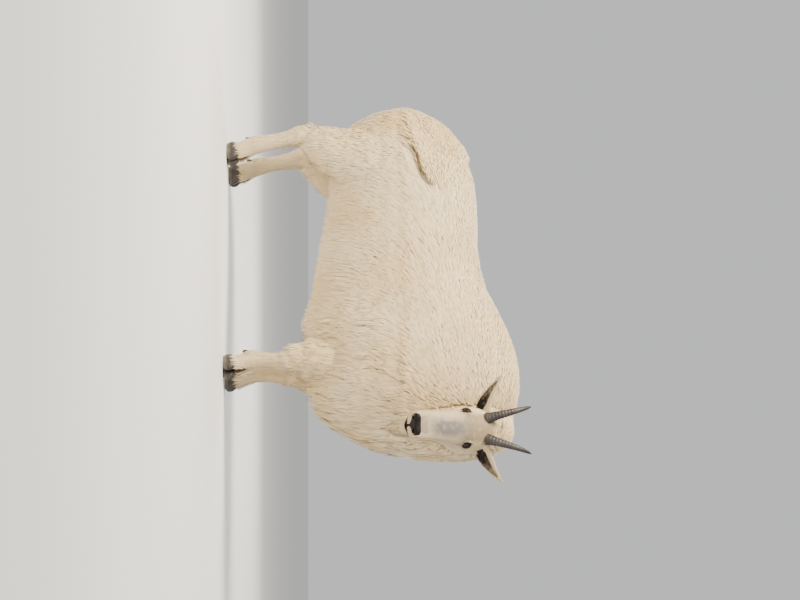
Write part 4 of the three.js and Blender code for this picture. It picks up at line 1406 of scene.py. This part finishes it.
tufts("coat_ears", REGION["ear"], 2, REGIONS["ear"], in_head=True)
tufts("coat_beard", REGION["beard"], 4, [BEARD], in_head=True)

# %% The skin takes its place
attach(skin, "root")
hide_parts("torso", "neck", "tail", "head", "nose_pad", "beard",
            *[f"{part}_{name}" for name in SIDES
              for part in ("ear", "foreleg", "hindleg", "shank_fore", "shank_hind")])
skin.data.materials.clear()
skin.data.materials.append(SKIN)
skin.data.polygons.foreach_set("material_index", np.zeros(len(skin.data.polygons), np.int32))
print("skin in place of the flesh nodes")

# %% [markdown]
# The eyes are the goat's liveliest part. Each is a ball whose pole looks out of the head, so that rings
# round the pole make the pupil and the iris. A goat's pupil is a bar that lies level.

# %% Eyes
EYE_WAY = Vector((0.32, 0.86, 0.38)).normalized()


def eyeball(name, side):
    way = Vector((EYE_WAY.x, EYE_WAY.y * side, EYE_WAY.z))
    turn = way.to_track_quat("Z", "X").to_matrix().to_4x4()
    mesh = head_ball(mirrored(EYE_AT, side), (EYE_RADIUS,) * 3, turn, 64)
    made = object_of(f"eye_{name}_ball", mesh, EYE)
    made.data.shade_smooth()
    local = times(HEAD_BACK, to_drawing(vertices(made.data))) - mirrored(EYE_AT, side)
    forward = np.array(way)
    level = np.array(HEAD_BACK.to_3x3() @ Vector((0, 0, 1)))
    level = unit(level - (level @ forward) * forward)
    off = local - (local @ forward)[:, None] * forward
    tall = np.abs(off @ level)
    long = np.linalg.norm(off - (off @ level)[:, None] * level, axis=1)
    iris = np.linalg.norm(off, axis=1)
    pupil = 1 - smooth(np.hypot(tall / 3.8, long / 8.0), 0.8, 1.1)
    facing = local @ forward > 0
    for field, values in (("iris", np.where(facing, iris, 30)), ("pupil", np.where(facing, pupil, 0))):
        made.data.attributes.new(field, "FLOAT", "POINT").data.foreach_set("value", values.astype(np.float32))
    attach(made, "root")
    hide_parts(f"eye_{name}")
    print(made.name, len(made.data.polygons), "faces")


for name, side in SIDES.items():
    eyeball(name, side)

# %% [markdown]
# The horns are slim black daggers. Their lower half carries the rings of each year's growth, and the
# tips are smooth. The rings are shaped in the mesh, because they show in the outline.

# %% Horns
HORN_ROOT, HORN_LONG, HORN_THICK, HORN_FLARE = (50, 32, 40), 162, 16.5, 3.5
HORN_RINGS, RING_RISE = 17, 0.45
LINE_SAMPLES = 300


def horn_rings(side):
    """The horn's line leans back more and more, and away from its fellow."""
    at = np.array(mirrored(HORN_ROOT, side), float)
    steps = 9
    rings = []
    for i in range(steps + 1):
        t = i / steps
        size = HORN_THICK * (1 - t) ** 0.66 + 1.2 * t + HORN_FLARE * max(0, 1 - 5 * t)
        rings.append((tuple(at), size * 0.92, size, size))
        lean = math.radians(34 + 66 * t)
        step = unit(np.array((-math.sin(lean), 0.27 * side, math.cos(lean))))
        at = at + step * HORN_LONG / steps
    return rings


def horn(name, side):
    loft = Loft(horn_rings(side), upward=(1, 0, 0), ends=(0, 0.03))
    mesh = loft.bmesh(40, 150, HEAD)
    made = object_of(f"horn_{name}_ringed", mesh, HORN)
    made.data.shade_smooth()
    local = times(HEAD_BACK, to_drawing(vertices(made.data)))
    line = curve(loft.line, np.linspace(0, 1, LINE_SAMPLES))
    nearest = np.linalg.norm(local[:, None] - line[None], axis=2).argmin(1)
    t = nearest / (LINE_SAMPLES - 1)
    out = unit(local - line[nearest])
    ringed = smooth(t, 0.02, 0.08) * (1 - smooth(t, 0.45, 0.7))
    swell = RING_RISE * ringed * np.sin(2 * math.pi * (t * HORN_RINGS + 0.1 * np.sin(9 * t)))
    for vert, point in zip(made.data.vertices, to_metres(times(HEAD, local + out * swell[:, None]))):
        vert.co = point
    made.data.attributes.new("along", "FLOAT", "POINT").data.foreach_set("value", t.astype(np.float32))
    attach(made, "root")
    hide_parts(f"horn_{name}")
    print(made.name, len(made.data.polygons), "faces")


for name, side in SIDES.items():
    horn(name, side)

# %% [markdown]
# Each foot stands on two claws, with a cleft between them, and two dewclaws hang behind the pastern.
# The claws are lofts too, cut flat where they meet the ground.

# %% Hooves and dewclaws
CLAW_SPREAD, CLAW_OFF = 5, 16.5


def claw_loft(way):
    y = CLAW_OFF * way
    return Loft([
        ((-34, y + way, 15), 14, 16, 18), ((-16, y + way, 18), 16, 24, 22), ((4, y, 18), 16, 26, 22),
        ((22, y - 2 * way, 14), 14, 20, 18), ((34, y - 4 * way, 9), 9, 11, 12),
    ], ends=(0.3, 0.3), square=2.5)


def flat_below(mesh):
    """Cuts a bmesh off level with the ground and closes the cut."""
    geometry = mesh.verts[:] + mesh.edges[:] + mesh.faces[:]
    made = bmesh.ops.bisect_plane(
        mesh, geom=geometry, plane_co=(0, 0, 0), plane_no=(0, 0, 1), clear_inner=True)
    edges = [item for item in made["geom_cut"] if isinstance(item, bmesh.types.BMEdge)]
    bmesh.ops.holes_fill(mesh, edges=edges)
    return faced_outwards(mesh)


def dewclaw_mesh(leg, name, way):
    mesh = bmesh.new()
    bmesh.ops.create_uvsphere(mesh, u_segments=20, v_segments=14, radius=1)
    size = Matrix.Rotation(0.45, 4, "Y") @ Matrix.Diagonal((8, 6.5, 14, 1))
    place = foot_frame(leg, name, behind=22) @ Matrix.Translation((-25, 13 * way, 74)) @ size
    bmesh.ops.transform(mesh, matrix=IN_FRAME @ place, verts=mesh.verts)
    return mesh


for (leg, name), place in FOOT_FRAMES.items():
    for edge, way in (("outer", SIDES[name]), ("inner", -SIDES[name])):
        heel = Matrix.Translation((-20, CLAW_OFF * way, 0))
        spread = heel @ Matrix.Rotation(math.radians(CLAW_SPREAD * way), 4, "Z") @ heel.inverted()
        hoof = flat_below(claw_loft(way).bmesh(32, 28, place @ spread))
        for node, mesh in (("hoof", hoof), ("dewclaw", dewclaw_mesh(leg, name, way))):
            made = object_of(f"{node}_{leg}_{name}_{edge}_horn", mesh, HOOF)
            made.data.shade_smooth()
            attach(made, "root")
            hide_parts(f"{node}_{leg}_{name}_{edge}")
print("feet with claws and dewclaws", len(FOOT_FRAMES))


# %% [markdown]
# The photograph was taken with the camera turned on its side, from in front of the right shoulder, low
# down and some way off. The camera here stands at the same place and is rolled the same way, so that
# the goat's up is the picture's right.

# %% Camera
CAMERA_AZIMUTH, CAMERA_FAR, CAMERA_HEIGHT = math.radians(22), 6500, 300
LOOK_ALONG, LOOK_HEIGHT = 75, 572
PHOTO_WIDE, SENSOR_WIDE, PIXEL = 800, 36, 3.29

along = Vector((math.cos(CAMERA_AZIMUTH), math.sin(CAMERA_AZIMUTH), 0))
look_at = along * LOOK_ALONG + Vector((0, 0, LOOK_HEIGHT))
rise = math.asin((CAMERA_HEIGHT - LOOK_HEIGHT) / CAMERA_FAR)
toward = Vector((math.sin(CAMERA_AZIMUTH) * math.cos(rise), -math.cos(CAMERA_AZIMUTH) * math.cos(rise),
                 math.sin(rise)))
across = (-toward).cross(Vector((0, 0, 1))).normalized()
upright = across.cross(-toward)
camera = bpy.data.objects.new("camera", bpy.data.cameras.new("camera"))
bpy.context.scene.collection.objects.link(camera)
camera.data.sensor_width = SENSOR_WIDE
camera.data.lens = CAMERA_FAR / PIXEL / PHOTO_WIDE * SENSOR_WIDE
camera.data.clip_start, camera.data.clip_end = 0.1, 200
turned = Matrix((upright, -across, toward)).transposed().to_4x4()
camera.matrix_world = Matrix.Translation(Vector(to_metres(look_at + toward * CAMERA_FAR))) @ turned
bpy.context.scene.camera = camera
print("lens", round(camera.data.lens, 1), "mm, at", [round(v, 2) for v in camera.location])

# %% [markdown]
# A museum shows an animal on a plain pale floor in soft light. One big square light gives the form, two
# weaker ones open the shadows, and the grey world does the rest. A small, hard light would draw a dark
# line round every tuft.

# %% Floor and lights
def plain(name, color, roughness):
    made, tree, shader = material(name)
    feed(tree, shader, Base_Color=(*color, 1), Roughness=roughness)
    return made


floor_mesh = bmesh.new()
bmesh.ops.create_circle(floor_mesh, cap_ends=True, radius=60, segments=64)
floor = object_of("floor", floor_mesh, plain("floor", (0.74, 0.73, 0.71), 0.8))
floor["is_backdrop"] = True

world = bpy.data.worlds.new("studio")
bpy.context.scene.world = world
world.use_nodes = True
world.node_tree.nodes["Background"].inputs["Color"].default_value = (0.86, 0.865, 0.87, 1)
world.node_tree.nodes["Background"].inputs["Strength"].default_value = 0.78


def softbox(name, at, size, power, tint):
    """A square area light that looks at the middle of the goat."""
    light = bpy.data.lights.new(name, "AREA")
    light.size, light.energy, light.color = size, power, tint
    made = bpy.data.objects.new(name, light)
    made.location = at
    aim = Vector((0, 0, 0.55)) - made.location
    made.rotation_mode = "QUATERNION"
    made.rotation_quaternion = aim.to_track_quat("-Z", "Y")
    bpy.context.scene.collection.objects.link(made)


softbox("key", Vector((-1.6, -2.6, 4.2)), 2.0, 720, (1.0, 0.91, 0.76))
softbox("fill", Vector((3.6, -2.6, 2.0)), 2.5, 60, (0.90, 0.95, 1.0))
softbox("rim", Vector((-1.0, 3.0, 2.6)), 2.0, 120, (1.0, 0.97, 0.92))
print("lights", [light.name for light in bpy.data.lights])

# %% [markdown]
# The looks may stand out a little past the solids. Both boxes are measured, and how far the looks stand
# out along each axis is printed.

# %% Sizes
seen_low, seen_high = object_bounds()
for axis in range(3):
    side_long = cad_high[axis] - cad_low[axis]
    over = max(cad_low[axis] - seen_low[axis], seen_high[axis] - cad_high[axis])
    print("XYZ"[axis], "stands out by", round(over / MM, 1), "mm, at most", round(30 * side_long + 10, 1))
